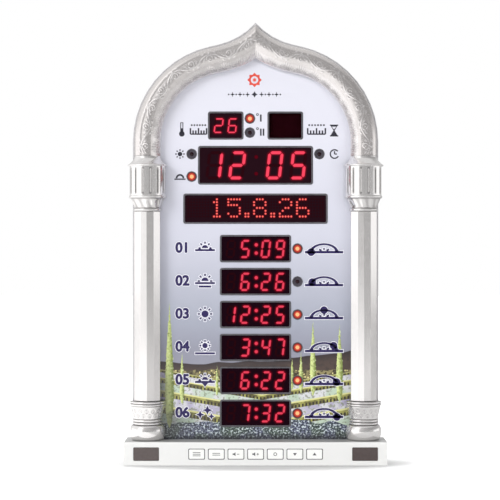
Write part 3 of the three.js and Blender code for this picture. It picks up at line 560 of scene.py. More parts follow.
# The hollow tints given below are painted shade: in the carving's hollows, the turned pieces' valleys
# and on the base's top
silver_satin = surface(
    "silver_satin", (236, 232, 231), (226, 222, 222), 0.22, metallic=0.8, grain=1200.0, bump=0.007,
    recess_shade=(212, 207, 205),
)
silver_shaft = surface(
    "silver_shaft", (234, 231, 230), (228, 225, 224), 0.15, metallic=0.8, grain=1400.0, bump=0.001,
    rough_spread=0.02, streaks=(900.0, 900.0, 8.0),
)
silver_plate = surface(
    "silver_plate", (236, 234, 233), (228, 225, 224), 0.13, metallic=0.8, grain=1800.0, bump=0.001,
    rough_spread=0.02, recess_shade=(150, 147, 146),
)
silver_paint = surface(
    "silver_paint", (212, 210, 212), (200, 198, 200), 0.38, metallic=0.5, grain=2200.0, bump=0.004,
)
pearl = surface(
    "pearl", (232, 232, 231), (231, 231, 229), 0.34, coat=0.2, grain=1100.0, recess_shade=(160, 160, 159),
)
case_grey = surface(
    "case_grey", (148, 149, 151), (134, 135, 137), 0.62, grain=1500.0, bump=0.05, rough_spread=0.08,
)
# Its sharp corners are painted lighter
mask_grey = surface("mask_grey", (88, 87, 92), (76, 75, 80), 0.42, grain=1300.0, sharp_corner_tone=(112, 111, 116))
module_black = surface(
    "module_black", (78, 22, 36), (70, 19, 32), 0.6, grain=700.0, bump=0.001, gleam=0.0,
)
key_white = surface("key_white", (248, 248, 246), (242, 242, 239), 0.36, coat=0.2, grain=1200.0)
smoked_window = surface(
    "smoked_window", (74, 61, 59), (66, 54, 52), 0.16, coat=0.6, grain=260.0, bump=0.002,
)
key_outline = surface("key_outline", (92, 92, 95), (78, 78, 80), 0.5, grain=900.0)
speaker_black = surface("speaker_black", (44, 44, 47), (30, 30, 32), 0.62, grain=1600.0, bump=0.05)
steel = surface(
    "steel", (196, 198, 201), (174, 176, 180), 0.28, metallic=1.0, grain=1500.0,
    streaks=(1600.0, 40.0, 1600.0),
)
jack_black = surface("jack_black", (30, 30, 33), (20, 20, 22), 0.5, grain=1300.0, bump=0.03)


def ink(name, base, shade, grain=2000.0):
    """A thin matt layer of print."""
    return surface(name, base, shade, 0.5, grain=grain, bump=0.001)


ink_navy = ink("ink_navy", (42, 30, 88), (36, 26, 78))
ink_white = ink("ink_white", (244, 244, 250), (234, 234, 243))
ink_dark = ink("ink_dark", (44, 42, 54), (36, 34, 46))
ink_red = ink("ink_red", (226, 84, 66), (206, 66, 54), 1200.0)

# What glows, each by its colour at the rim and in the middle, in linear light; the faint glow of unlit
# bars, dots and the colon, the halos round lit bars and the glow on the lit lamps' cones are painted
# light
segment_lit = glowing("segment_lit", (1.5, 0.04, 0.09, 1), (2.4, 0.17, 0.31, 1))
segment_dim = glowing("segment_dim", (0.040, 0.0075, 0.014, 1), (0.060, 0.0075, 0.014, 1))
colon_dim = glowing("colon_dim", (0.10, 0.003, 0.010, 1), (0.24, 0.006, 0.02, 1))
halo_red = glowing("halo_red", (0.046, 0.0135, 0.0235, 1), (0.46, 0.012, 0.036, 1))
halo_deep = glowing("halo_deep", (0.032, 0.0080, 0.0185, 1), (0.48, 0.010, 0.034, 1))
dot_lit = glowing("dot_lit", (1.8, 0.08, 0.08, 1), (2.6, 0.42, 0.34, 1))
lamp_lit = glowing("lamp_lit", (0.95, 0.12, 0.05, 1), (1.25, 0.62, 0.28, 1))
reflector_lit = glowing("reflector_lit", (0.10, 0.02, 0.02, 1), (0.62, 0.07, 0.05, 1))
lamp_dark = surface("lamp_dark", (38, 8, 20), (26, 6, 14), 0.22, grain=400.0, gleam=0.3)
reflector_dark = surface("reflector_dark", (84, 80, 88), (72, 68, 76), 0.5, grain=900.0, gleam=0.1)


def smoke_material(name, depth):
    """Dark acrylic that shows what is lit behind it."""
    made, tree, shader, place = start_material(name, 0.12, gleam=0.0)
    fine = use_group(tree, GRAIN, place, scale=60.0)
    shader.inputs["Base Color"].default_value = BLACK
    clouded = spread(tree, fine.outputs["Mask"], 0.0, 1.0, depth - 0.01, depth + 0.01)
    tree.links.new(clouded, shader.inputs["Alpha"])
    return made


red_smoke = smoke_material("red_smoke", 0.35)
deep_smoke = smoke_material("deep_smoke", 0.4)


def board_material():
    """Green lacquer with paler tracks and tinned dots."""
    made, tree, shader, place = start_material("board_green", 0.35)
    tracks = node_in(
        tree, "ShaderNodeTexVoronoi", {"Vector": place, "Scale": 160.0}, distance="MANHATTAN"
    )
    lane = spread(tree, tracks.outputs["Distance"], 0.28, 0.32)
    tone = blend_colours(tree, lane, colour(52, 128, 82), colour(26, 84, 52))
    dots = node_in(tree, "ShaderNodeTexVoronoi", {"Vector": place, "Scale": 240.0})
    tinned = spread(tree, dots.outputs["Distance"], 0.10, 0.13, 1.0, 0.0)
    tone = blend_colours(tree, tinned, tone, colour(190, 192, 190))
    tree.links.new(tone, shader.inputs["Base Color"])
    texture(tree, shader, tinned, 0.6, 0.1)
    return made


board_green = board_material()

# The printed scene, from the sky down: rows of the photograph at which each stretch starts, and at which
# the painted shade on the left and at the foot sets in
SKY_TOP_ROW = 51
HORIZON_ROW = 352
HILL_ROW = 361
TOWN_ROW = 370
SHADE_ROW = 372
TERRACE_ROW = 378
SIDE_SHADE_ROW = 410
GARDEN_ROW = 419
FOOT_SHADE_ROW = 430
FACE_FOOT_ROW = 439
TERRACE_COLUMN = 262


def print_x(column):
    """A column of the photograph as a place across the face, in metres."""
    return face_x(column) * MM


def print_z(row):
    """A row of the photograph as a height on the face, in metres."""
    return face_z(row) * MM


def skyline(tree, across, middle, swing, scale, seed):
    """A wavering height that changes along the face."""
    values = {"W": maths(tree, "ADD", across, seed), "Scale": scale, "Detail": 2.0}
    wave = node_in(tree, "ShaderNodeTexNoise", values, noise_dimensions="1D")
    lift = maths(tree, "MULTIPLY", maths(tree, "SUBTRACT", wave.outputs["Fac"], 0.5), swing)
    return maths(tree, "ADD", lift, middle)


def below(tree, height, line, softness=0.0006):
    """One below a line, none above it."""
    return spread(tree, maths(tree, "SUBTRACT", line, height), -softness, softness)


def between(tree, value, low, high, softness):
    """One between two values, none outside them."""
    rising = spread(tree, value, low - softness, low + softness)
    falling = spread(tree, value, high - softness, high + softness, 1.0, 0.0)
    return maths(tree, "MULTIPLY", rising, falling)


def printed_sky(tree, flat, height):
    """A pale sky that darkens to lilac grey at the horizon, with faint cloud."""
    share = spread(tree, height, print_z(HORIZON_ROW), print_z(SKY_TOP_ROW), smooth=False)
    stops = [
        (0.0, colour(144, 145, 160)),
        (0.10, colour(163, 167, 182)),
        (0.38, colour(206, 207, 220)),
        (0.72, colour(222, 222, 233)),
        (1.0, colour(221, 221, 231)),
    ]
    cloud = spread(tree, noise(tree, flat, 9.0, 4.0), 0.45, 0.75, 0.0, 0.15)
    return blend_colours(tree, cloud, ramp(tree, share, stops), colour(214, 214, 225))


# How the hills' line climbs to the right, and how much steeper it gets
HILL_SLOPE = 0.0665
HILL_BEND = 0.363


def printed_hills(tree, tone, across, flat, height):
    """Far brown hills, higher on the right, with a town's lights along their foot."""
    bend = maths(tree, "ADD", maths(tree, "MULTIPLY", across, HILL_BEND), HILL_SLOPE)
    line = skyline(tree, across, print_z(HILL_ROW), 0.01, 13.0, 3.1)
    line = maths(tree, "ADD", line, maths(tree, "MULTIPLY", across, bend))
    rough = noise(tree, flat, 170.0, 5.0)
    depth = spread(tree, maths(tree, "SUBTRACT", line, height), 0.0, 0.014)
    hill = blend_colours(tree, depth, colour(50, 38, 38), colour(76, 60, 52))
    hill = blend_colours(tree, spread(tree, rough, 0.5, 0.66, 0.0, 0.5), hill, colour(46, 40, 40))
    tone = blend_colours(tree, below(tree, height, line), tone, hill)
    town_line = skyline(tree, across, print_z(TOWN_ROW), 0.005, 60.0, 1.7)
    values = {"Vector": flat, "Scale": 260.0, "Randomness": 0.8}
    blocks = node_in(tree, "ShaderNodeTexVoronoi", values, distance="CHEBYCHEV")
    chance = node_in(tree, "ShaderNodeSeparateXYZ", {0: blocks.outputs["Color"]}).outputs[0]
    town = blend_colours(tree, spread(tree, chance, 0.2, 0.8), colour(62, 54, 34), colour(148, 138, 92))
    lights = spread(tree, blocks.outputs["Distance"], 0.16, 0.26, 1.0, 0.0)
    town = blend_colours(tree, lights, town, colour(238, 226, 152))
    return blend_colours(tree, below(tree, height, town_line), tone, town)


# The terraces' slope away from their middle, the first one's drop, and how the drops grow
TERRACE_RISE = 0.17
TERRACE_DROP = 0.012
TERRACE_STEP = 0.0105
TERRACE_POWER = 0.72
ARCHES_PER_METRE = 210


def printed_terraces(tree, tone, across, flat, height):
    """Garden terraces that step down towards the viewer, each with a lit parapet and an arcade."""
    off_axis = maths(tree, "ABSOLUTE", maths(tree, "SUBTRACT", across, print_x(TERRACE_COLUMN)))
    rise = maths(tree, "MULTIPLY", off_axis, TERRACE_RISE)
    level = maths(tree, "SUBTRACT", height, rise)
    level = maths(tree, "SUBTRACT", print_z(TERRACE_ROW) - TERRACE_DROP, level)
    level = maths(tree, "MAXIMUM", level, 0.0)
    count = maths(tree, "POWER", maths(tree, "DIVIDE", level, TERRACE_STEP), TERRACE_POWER)
    share = maths(tree, "FRACT", count)
    other = maths(tree, "FRACT", maths(tree, "MULTIPLY", maths(tree, "FLOOR", count), 0.5))
    other = spread(tree, other, 0.2, 0.3)
    ground = blend_colours(tree, other, colour(178, 172, 198), colour(190, 208, 188))
    patches = spread(tree, noise(tree, flat, 60.0, 4.0), 0.42, 0.6)
    ground = blend_colours(tree, patches, ground, colour(216, 216, 220))
    hedges = spread(tree, noise(tree, flat, 240.0), 0.52, 0.62, 0.0, 0.7)
    ground = blend_colours(tree, hedges, ground, colour(120, 128, 96))
    stones = spread(tree, noise(tree, flat, 90.0, 2.0), 0.4, 0.62)
    wall = blend_colours(tree, stones, colour(96, 90, 44), colour(166, 164, 84))
    arches = maths(tree, "FRACT", maths(tree, "MULTIPLY", across, ARCHES_PER_METRE))
    opening = between(tree, arches, 0.25, 0.75, 0.06)
    opening = maths(tree, "MULTIPLY", opening, between(tree, share, 0.24, 0.46, 0.03))
    wall = blend_colours(tree, opening, wall, colour(46, 40, 24))
    stage = blend_colours(tree, spread(tree, share, 0.44, 0.48), wall, ground)
    parapet = spread(tree, share, 0.09, 0.13, 1.0, 0.0)
    stage = blend_colours(tree, parapet, stage, colour(222, 220, 150))
    line = maths(tree, "ADD", rise, print_z(TERRACE_ROW) - TERRACE_DROP)
    return blend_colours(tree, below(tree, height, line), tone, stage)


def printed_garden(tree, tone, across, flat, height):
    """Flower beds in front, dotted dark, blue green and pale."""
    fine = noise(tree, flat, 380.0, 4.0)
    patches = spread(tree, noise(tree, flat, 34.0, 2.0), 0.42, 0.58)
    bed = blend_colours(tree, patches, colour(84, 102, 88), colour(104, 110, 136))
    bed = blend_colours(tree, spread(tree, fine, 0.40, 0.52), colour(36, 46, 52), bed)
    bed = blend_colours(tree, spread(tree, fine, 0.54, 0.62), bed, colour(214, 226, 230))
    line = skyline(tree, across, print_z(GARDEN_ROW), 0.012, 26.0, 5.5)
    rise = maths(tree, "MULTIPLY", maths(tree, "ABSOLUTE", across), -0.05)
    return blend_colours(tree, below(tree, height, maths(tree, "ADD", line, rise)), tone, bed)


def poplar_group():
    """A tall slim tree: where it is, and how far to its shaded side."""
    names = ["Across", "Height", "Middle", "Foot", "Top", "Half Width"]
    sockets = [(name, "NodeSocketFloat", 0.01) for name in names]
    outputs = [("Mask", "NodeSocketFloat"), ("Shade", "NodeSocketFloat")]
    group, start, end = make_group("poplar", sockets, outputs)
    inputs = start.outputs
    share = spread(group, inputs["Height"], inputs["Foot"], inputs["Top"], smooth=False)
    turn = maths(group, "MULTIPLY", maths(group, "POWER", share, 0.55), math.pi)
    width = maths(group, "MULTIPLY", maths(group, "SINE", turn), inputs["Half Width"])
    side = maths(group, "SUBTRACT", inputs["Across"], inputs["Middle"])
    room = maths(group, "SUBTRACT", width, maths(group, "ABSOLUTE", side))
    group.links.new(spread(group, room, 0.0, 0.0007), end.inputs["Mask"])
    shade = maths(group, "DIVIDE", side, inputs["Half Width"])
    group.links.new(spread(group, shade, -0.6, 0.9), end.inputs["Shade"])
    return group


# Lit poplars: the column of each one's middle, the rows of its top and foot, its half width
POPLARS = [
    (217, 364, 396, 1.8),
    (292, 356, 390, 1.8),
    (301, 350, 393, 2.3),
    (182, 350, 404, 2.5),
    (313, 317, 396, 3.2),
    (339.5, 322, 402, 3.6),
    (169.5, 299, 428, 4.6),
]


def printed_poplars(tree, tone, across, flat, height):
    """Poplars lit yellow green from below, the near ones tall."""
    poplar = poplar_group()
    leaves = noise(tree, flat, 300.0)
    waver = maths(tree, "MULTIPLY", maths(tree, "SUBTRACT", leaves, 0.5), 0.0035)
    moved = maths(tree, "ADD", across, waver)
    dark = spread(tree, leaves, 0.54, 0.68, 0.0, 0.6)
    light = spread(tree, leaves, 0.30, 0.42, 0.6, 0.0)
    for column, top, foot, half in POPLARS:
        values = {
            "Across": moved,
            "Height": height,
            "Middle": print_x(column),
            "Foot": print_z(foot),
            "Top": print_z(top),
            "Half Width": half * PIXEL * MM,
        }
        made = node_in(tree, "ShaderNodeGroup", values, node_tree=poplar)
        leaf = blend_colours(tree, made.outputs["Shade"], colour(218, 230, 150), colour(112, 128, 50))
        leaf = blend_colours(tree, dark, leaf, colour(92, 104, 48))
        leaf = blend_colours(tree, light, leaf, colour(232, 240, 204))
        tone = blend_colours(tree, made.outputs["Mask"], tone, leaf)
    return tone


def printed_face_material():
    """An evening landscape in print: pale sky, brown hills, lit terraces, poplars and a garden, darkened
    by painted shade beside the left column, over the lower left and along its foot.
    """
    made, tree, shader, place = start_material("printed_face", 0.26, coat=0.3)
    split = node_in(tree, "ShaderNodeSeparateXYZ", {0: place})
    across, height = split.outputs["X"], split.outputs["Z"]
    flat = node_in(tree, "ShaderNodeCombineXYZ", {"X": across, "Y": height}).outputs[0]
    tone = printed_sky(tree, flat, height)
    tone = printed_hills(tree, tone, across, flat, height)
    tone = printed_terraces(tree, tone, across, flat, height)
    tone = printed_garden(tree, tone, across, flat, height)
    tone = printed_poplars(tree, tone, across, flat, height)
    # Painted shade cast by the left column and arch and by the base's edge, partly the print's own dark
    # hedges: darker beside the left column low down, over the lower left and along the foot
    edge = spread(tree, across, -0.104, -0.130)
    low = below(tree, height, print_z(SHADE_ROW), 0.02)
    foot = spread(tree, height, print_z(FACE_FOOT_ROW), print_z(FOOT_SHADE_ROW), 0.85, 0.0)
    side = spread(tree, across, -0.05, -0.12, 0.0, 0.68)
    side = maths(tree, "MULTIPLY", side, below(tree, height, print_z(SIDE_SHADE_ROW), 0.006))
    painted_shade = maths(tree, "MULTIPLY", maths(tree, "MULTIPLY", edge, low), 0.75)
    painted_shade = maths(tree, "MAXIMUM", maths(tree, "MAXIMUM", painted_shade, foot), side)
    tone = blend_colours(tree, painted_shade, tone, colour(40, 38, 46))
    screen = noise(tree, place, 2600.0)
    dots = spread(tree, screen, 0.3, 0.7, 0.0, 0.05)
    tone = blend_colours(tree, dots, tone, colour(120, 120, 130))
    tree.links.new(tone, shader.inputs["Base Color"])
    texture(tree, shader, screen, 0.2, 0.002)
    return made


printed_face = printed_face_material()


# The ogee arch


def arch_arcs():
    """The middles of the haunch and of the point's hollow arc, left of the axis, and the point's end."""
    haunch = Vector((HAUNCH_RADIUS - COLUMN_X, SPRINGING + ARCH_STRAIGHT))
    sine, cosine = math.sin(SHOULDER_ANGLE), math.cos(SHOULDER_ANGLE)
    point = haunch + Vector(
        (
            -HAUNCH_RADIUS * sine + SHOULDER_RUN * cosine - POINT_RADIUS * sine,
            HAUNCH_RADIUS * cosine + SHOULDER_RUN * sine + POINT_RADIUS * cosine,
        )
    )
    return haunch, point


HAUNCH, POINT = arch_arcs()
HAUNCH_SWEEP = math.pi / 2 - SHOULDER_ANGLE
HAUNCH_RUN = HAUNCH_RADIUS * HAUNCH_SWEEP
POINT_RUN = POINT_RADIUS * (math.asin(-POINT.x / POINT_RADIUS) - SHOULDER_ANGLE)
HALF_RUN = ARCH_STRAIGHT + HAUNCH_RUN + SHOULDER_RUN + POINT_RUN


def ogee_place(run, offset):
    """The point at a run along the arch's left half from its springing, at an offset outwards."""
    if run <= ARCH_STRAIGHT:
        return Vector((-COLUMN_X - offset, SPRINGING + run))
    run -= ARCH_STRAIGHT
    if run <= HAUNCH_RUN:
        turn = run / HAUNCH_RADIUS
        reach = HAUNCH_RADIUS + offset
        return HAUNCH + Vector((-math.cos(turn), math.sin(turn))) * reach
    run -= HAUNCH_RUN
    along = Vector((math.cos(SHOULDER_ANGLE), math.sin(SHOULDER_ANGLE)))
    out = Vector((-along.y, along.x))
    if run <= SHOULDER_RUN:
        return HAUNCH + out * (HAUNCH_RADIUS + offset) + along * run
    reach = POINT_RADIUS - offset
    last = math.asin(min(1.0, -POINT.x / reach))
    turn = SHOULDER_ANGLE + (last - SHOULDER_ANGLE) * (run - SHOULDER_RUN) / POINT_RUN
    return POINT + Vector((math.sin(turn), -math.cos(turn))) * reach


def ogee_offset(x, z):
    """How far a place on the face lies outside the arch's and columns' middle line."""
    place = Vector((-abs(x), z))
    if z < SPRINGING + ARCH_STRAIGHT:
        return abs(x) - COLUMN_X
    out = Vector((-math.sin(SHOULDER_ANGLE), math.cos(SHOULDER_ANGLE)))
    round_haunch = place - HAUNCH
    if round_haunch.x * out.y - round_haunch.y * out.x < 0 or round_haunch.x < -HAUNCH_RADIUS:
        return round_haunch.length - HAUNCH_RADIUS
    along = round_haunch.x * out.y - round_haunch.y * out.x
    if along < SHOULDER_RUN:
        return round_haunch.dot(out) - HAUNCH_RADIUS
    return POINT_RADIUS - (place - POINT).length


SLOPE_BOW = 0.9
ARCH_STATIONS = 900
SECTION_COUNTS = {"lip": 2, "shoulder": 14, "band": 22, "slope": 20, "back": 4}


def arch_section():
    """The moulding's section as offset and rise, round from the outer edge to the inner and back."""
    half = MOULDING_RADIUS
    eaves = half - ARCH_CROWN
    points = []
    for step in range(SECTION_COUNTS["lip"]):
        points.append((half, ARCH_LIP * step / SECTION_COUNTS["lip"]))
    for step in range(SECTION_COUNTS["shoulder"]):
        turn = math.pi / 2 * step / SECTION_COUNTS["shoulder"]
        rise = ARCH_LIP + (eaves - ARCH_LIP) * math.sin(turn)
        points.append((half - ARCH_SHOULDER * (1 - math.cos(turn)), rise))
    width = 2 * half - ARCH_SHOULDER - ARCH_SLOPE
    for step in range(SECTION_COUNTS["band"]):
        share = step / SECTION_COUNTS["band"]
        crown = ARCH_CROWN * math.sin(math.pi * share)
        points.append((half - ARCH_SHOULDER - width * share, eaves + crown))
    for step in range(SECTION_COUNTS["slope"] + 1):
        share = step / SECTION_COUNTS["slope"]
        rise = ARCH_LIP + (eaves - ARCH_LIP) * (1 - share) + SLOPE_BOW * math.sin(math.pi * share)
        points.append((ARCH_SLOPE * (1 - share) - half, rise))
    for step in range(1, SECTION_COUNTS["lip"] + 1):
        points.append((-half, ARCH_LIP * (1 - step / SECTION_COUNTS["lip"])))
    for step in range(1, SECTION_COUNTS["back"]):
        points.append((-half + 2 * half * step / SECTION_COUNTS["back"], 0.0))
    return points


def ridge(distance, width):
    """The height of a rounded ridge at a distance from its middle line."""
    return math.exp(-((distance / width) ** 2))


def fade(value, low, high):
    """A soft step from none at the low value to one at the high one."""
    share = min(1.0, max(0.0, (value - low) / (high - low)))
    return share * share * (3 - 2 * share)


# The arch's carving: a winding stem with curls and leaves, and fanned ribs inside it
SCROLL_PITCH = 52.0
SCROLL_MIDDLE = 2.4
SCROLL_SWING = 5.0
SCROLL_REACH = 11.5
STEM_WIDTH = 0.75
CURL_ASIDE = 0.8
CURL_RADIUS = 4.8
CURL_SHRINK = 2.2
CURL_WIDTH = 0.6
EYE_WIDTH = 1.0
LEAF_ASIDE = 7.6
LEAF_WIDTH = 1.3
LEAF_LEAN = 0.8
LEAF_SHARE = 0.85  # of the stem's height
RIB_PITCH = 2.3
RIB_LEAN = 0.825
RIB_SHORTEST = 4.0
RIB_GROWTH = 8.5
FAN_PITCH = 22.0
CARVING = 0.42
SCROLL_SHARE = 0.8  # of the carving's depth
RIB_SHARE = 0.7  # of the carving's depth

# Where the carving fades: along the scroll's edges, up from the arch's foot and off the inner slope; and
# where the painted shade of the hollows eases on the inner slope
SCROLL_FADE = 2.5
FOOT_FADE = (1.5, 4.0)
RIB_FADE = (-8.0, -4.5)
SLOPE_FADE = (6.5, 9.5)

# Each leaf of a bend: to which side of it, how far out and how long
LEAVES = [(-1, 0.6, 3.8), (1, 0.6, 3.8), (-1, 7.6, 3.2), (1, 7.6, 3.2), (0, 7.4, 3.0)]


def scroll_relief(run, offset):
    """A winding stem on the band, with a curl and leaves in each bend."""
    turn = 2 * math.pi * run / SCROLL_PITCH
    stem_offset = SCROLL_MIDDLE + SCROLL_SWING * math.sin(turn)
    slope = SCROLL_SWING * math.cos(turn) * 2 * math.pi / SCROLL_PITCH
    height = ridge((offset - stem_offset) / math.sqrt(1 + slope * slope), STEM_WIDTH)
    half = SCROLL_PITCH / 2
    bend = round(run / half - 0.5)
    side = -1 if bend % 2 == 0 else 1
    dx, dy = run - (bend + 0.5) * half, offset - SCROLL_MIDDLE - side * CURL_ASIDE
    reach = math.hypot(dx, dy)
    angle = math.atan2(dy * side, dx)
    curl = CURL_RADIUS - CURL_SHRINK * (angle + math.pi) / (2 * math.pi)
    height = max(height, ridge(reach - curl, CURL_WIDTH) * fade(reach, CURL_WIDTH, 2 * CURL_WIDTH))
    height = max(height, ridge(reach, EYE_WIDTH))
    for way, out, size in LEAVES:
        leaf_x = dx - way * LEAF_ASIDE
        leaf_y = dy + side * out
        lean = LEAF_LEAN * way
        rise = math.sqrt(1 - lean * lean)
        along = (leaf_x * lean + leaf_y * side * rise) / size
        if abs(along) < 1:
            off = (-leaf_x * rise + leaf_y * side * lean) / (LEAF_WIDTH * max(0.05, 1 - along * along))
            height = max(height, LEAF_SHARE * math.exp(-off * off) * (1 - along * along))
    return height


def rib_relief(run, offset):
    """Fanned ribs along the inner edge, longest at the middle of each fan."""
    inward = offset + MOULDING_RADIUS
    share = run / FAN_PITCH
    reach = RIB_SHORTEST + RIB_GROWTH * abs(math.sin(math.pi * share))
    lean = (share - math.floor(share) - 0.5) * RIB_LEAN
    phase = (run - lean * inward) / RIB_PITCH
    rib = 0.5 + 0.5 * math.cos(2 * math.pi * phase)
    return rib * rib * fade(inward, 0.0, 0.8) * (1 - fade(inward, reach * 0.7, reach))


def arch_relief(run, offset):
    """The carving's height, from none to one, and how clear of the painted shade in the hollows a place
    lies.
    """
    across = 1 - fade(abs(offset - SCROLL_MIDDLE), SCROLL_REACH - SCROLL_FADE, SCROLL_REACH)
    near_foot = fade(run, *FOOT_FADE)
    scroll = scroll_relief(run, offset) * across * near_foot
    ribs = rib_relief(run, offset) * (1 - fade(offset, *RIB_FADE)) * near_foot
    plain = fade(-offset, *SLOPE_FADE) * 0.5
    return max(scroll * SCROLL_SHARE, ribs * RIB_SHARE), max(scroll, ribs, plain)


def arch_moulding():
    """The ogee moulding: a grid wrapped round its section and along its line, then carved."""
    section = arch_section()
    around = len(section)
    bpy.ops.mesh.primitive_grid_add(x_subdivisions=ARCH_STATIONS, y_subdivisions=around, size=1)
    piece = bpy.context.object
    unshaded = []
    back = FRAME_FRONT - SEAT_GAP
    for vertex in piece.data.vertices:
        station = round((vertex.co.x + 0.5) * ARCH_STATIONS)
        corner = round((vertex.co.y + 0.5) * around) % around
        run = 2 * HALF_RUN * station / ARCH_STATIONS
        left_run = min(run, 2 * HALF_RUN - run)
        offset, rise = section[corner]
        before = Vector(section[corner - 1])
        after = Vector(section[(corner + 1) % around])
        normal = Vector((before.y - after.y, after.x - before.x)).normalized() * -1
        height, clear = 0.0, 0.5
        if rise > ARCH_LIP * 0.6:
            height, clear = arch_relief(left_run, offset)
            offset += normal.x * CARVING * (height - 1)
            rise += normal.y * CARVING * (height - 1)
        unshaded.append(clear)
        place = ogee_place(left_run, offset)
        across = place.x if run <= HALF_RUN else -place.x
        vertex.co = at(across, back - rise, place.y)
    # How clear of the painted shade in the carving's hollows each vertex lies
    store(piece, "relief", unshaded)
    open_mesh(piece, "VERT")
    bpy.ops.mesh.remove_doubles(threshold=0.01 * MM)
    bpy.ops.mesh.select_all(action="DESELECT")
    bpy.ops.mesh.select_non_manifold()
    bpy.ops.mesh.fill_holes(sides=0)
    close_mesh()
    outward(piece)
    dress(piece, "arch_carved", silver_satin, stands_for=["arch_moulding"], smooth=50)


# Columns

# Ornaments round the turned pieces
LOBE_COUNT = 11
LOBE_TWIST = 2.2
CURL_COUNT = 15
CURL_ROWS = [0.3, 0.64]
CURL_WIDE = 21.0
CURL_TALL = 17.5
# How far from a valley between mouldings its painted shade reaches
VALLEY_REACH = 1.7


def lobe_height(angle, share):
    """Soft hanging lobes round a bell."""
    lobe = 0.5 + 0.5 * math.cos(LOBE_COUNT * angle + LOBE_TWIST * share)
    return 0.35 + 0.65 * lobe * math.sin(math.pi * share)


def curl_height(angle, share):
    """Small curls engraved round a vase, in two rows."""
    groove = 0.0
    pitch = 2 * math.pi / CURL_COUNT
    for row, lift in enumerate(CURL_ROWS):
        turn = angle / pitch + 0.5 * row
        dx = (turn - math.floor(turn) - 0.5) * pitch * CURL_WIDE
        dz = (share - lift) * CURL_TALL
        reach = math.hypot(dx, dz)
        groove = max(groove, ridge(reach - 2.3, 0.5), ridge(reach - 0.6, 0.4))
    return 1 - 0.75 * groove


def carve(piece, foot, top, height_of, depth, clear, valleys):
    """Moves a band's vertices in and out by an ornament, and stores how clear each lies of the painted
    shade in its hollows and next to the valleys.
    """
    unshaded = []
    for vertex in piece.data.vertices:
        x, y, z = vertex.co / MM
        share = (z - foot) / (top - foot)
        height = clear
        if 0.02 < share < 0.98:
            radius = math.hypot(x, y)
            height = height_of(math.atan2(x, -y), share)
            grown = 1 + depth * (height - 0.5) / radius
            vertex.co = at(x * grown, y * grown, z)
        nearest = min(abs(z - valley) for valley in valleys)
        unshaded.append(height * fade(nearest, -0.6, VALLEY_REACH))
    store(piece, "relief", unshaded)


def half_round(piece):
    """Cuts a turned piece flat where it meets the frame."""
    open_mesh(piece)
    plane = (0, -SEAT_GAP * MM, 0)
    bpy.ops.mesh.bisect(plane_co=plane, plane_no=(0, 1, 0), use_fill=True, clear_outer=True)
    close_mesh()
    outward(piece)
    return piece


def flute_cutter(angle, foot, top):
    """A round-ended bar that cuts one flute in a drum."""
    length = top - foot
    bpy.ops.mesh.primitive_cylinder_add(vertices=20, radius=FLUTE_RADIUS * MM, depth=length * MM)
    cutter = bpy.context.object
    round_edges(cutter, lambda x, y, z: True, FLUTE_RADIUS * 0.96, 5)
    place = at(DRUM_RADIUS * math.sin(angle), -DRUM_RADIUS * math.cos(angle), (foot + top) / 2)
    cutter.data.transform(Matrix.Translation(place))
    return cutter


TURNED_STEPS = 216
# How clear of painted shade the uncarved stretches lie, away from the valleys
CARVED_CLEAR = 0.85

# A capital from its neck up. A bead has its radius at the ends and at its belly, and its rise
NECK_BEAD = (18.2, 19.2, 3.8)
BELL_RADIUS = 23.4
BELL_RISE = 13.7
BELL_CARVING = 1.5
DRUM_RADIUS = 24.4
DRUM_BEAD = (DRUM_RADIUS, 25.4, 3.8)
DRUM_RISE = 39.4
LIP_BEAD = (25.4, 27.0, 2.8)
FLARE_RISE = 11.0
FLUTE_COUNT = 6
FLUTE_PITCH = math.radians(25)
FLUTE_RADIUS = 1.5
FLUTE_MARGIN = 3.6


def capital():
    """A capital: neck ring, leafy bell, fluted drum, lip and flare."""
    rings = Rings(NECK_BEAD[0]).bead(*NECK_BEAD)
    bell_foot = rings.height
    rings.cove(NECK_BEAD[0], BELL_RADIUS, BELL_RISE, 26)
    bell_top = rings.height
    rings.bead(*DRUM_BEAD).to(DRUM_RADIUS)
    flute_foot = rings.height + FLUTE_MARGIN
    rings.to(DRUM_RADIUS, DRUM_RISE)
    flute_top = rings.height - FLUTE_MARGIN
    rings.bead(*LIP_BEAD).cove(LIP_BEAD[0], MOULDING_RADIUS, FLARE_RISE)
    piece = turned(rings.rings, TURNED_STEPS)
    valleys = [0, bell_foot, bell_top]
    carve(piece, bell_foot, bell_top, lobe_height, BELL_CARVING, CARVED_CLEAR, valleys)
    half_round(piece)
    angles = [(index - (FLUTE_COUNT - 1) / 2) * FLUTE_PITCH for index in range(FLUTE_COUNT)]
    cutters = [flute_cutter(angle, flute_foot, flute_top) for angle in angles]
    subtract(piece, joined(cutters))
    return piece


# A pedestal from its foot up, its foot widest at a share of its rise
FOOT_BEAD = (20.2, 24.2, 20.3)
FOOT_WIDEST_SHARE = 0.56
BAND_BEAD = (18.4, 20.3, 4.05)
VASE_FOOT_RADIUS = 19.2
VASE_TOP_RADIUS = 22.8
VASE_RISE = 17.5
VASE_CARVING = 0.6
CROWN_BEAD = (22.6, 24.0, 3.35)


def pedestal():
    """A pedestal: swelling foot, two bands, curled vase and a double crown ring."""
    rings = Rings(FOOT_BEAD[0]).bead(*FOOT_BEAD, 18, FOOT_WIDEST_SHARE)
    valleys = [0, rings.height]
    for _ in range(2):
        rings.bead(*BAND_BEAD)
        valleys.append(rings.height)
    vase_foot = rings.height
    rings.to(VASE_FOOT_RADIUS).to(VASE_TOP_RADIUS, VASE_RISE, 30)
    vase_top = rings.height
    for _ in range(2):
        valleys.append(rings.height)
        rings.bead(*CROWN_BEAD)
    valleys.append(rings.height)
    piece = turned(rings.rings, TURNED_STEPS)
    carve(piece, vase_foot, vase_top, curl_height, VASE_CARVING, CARVED_CLEAR, valleys)
    return half_round(piece)


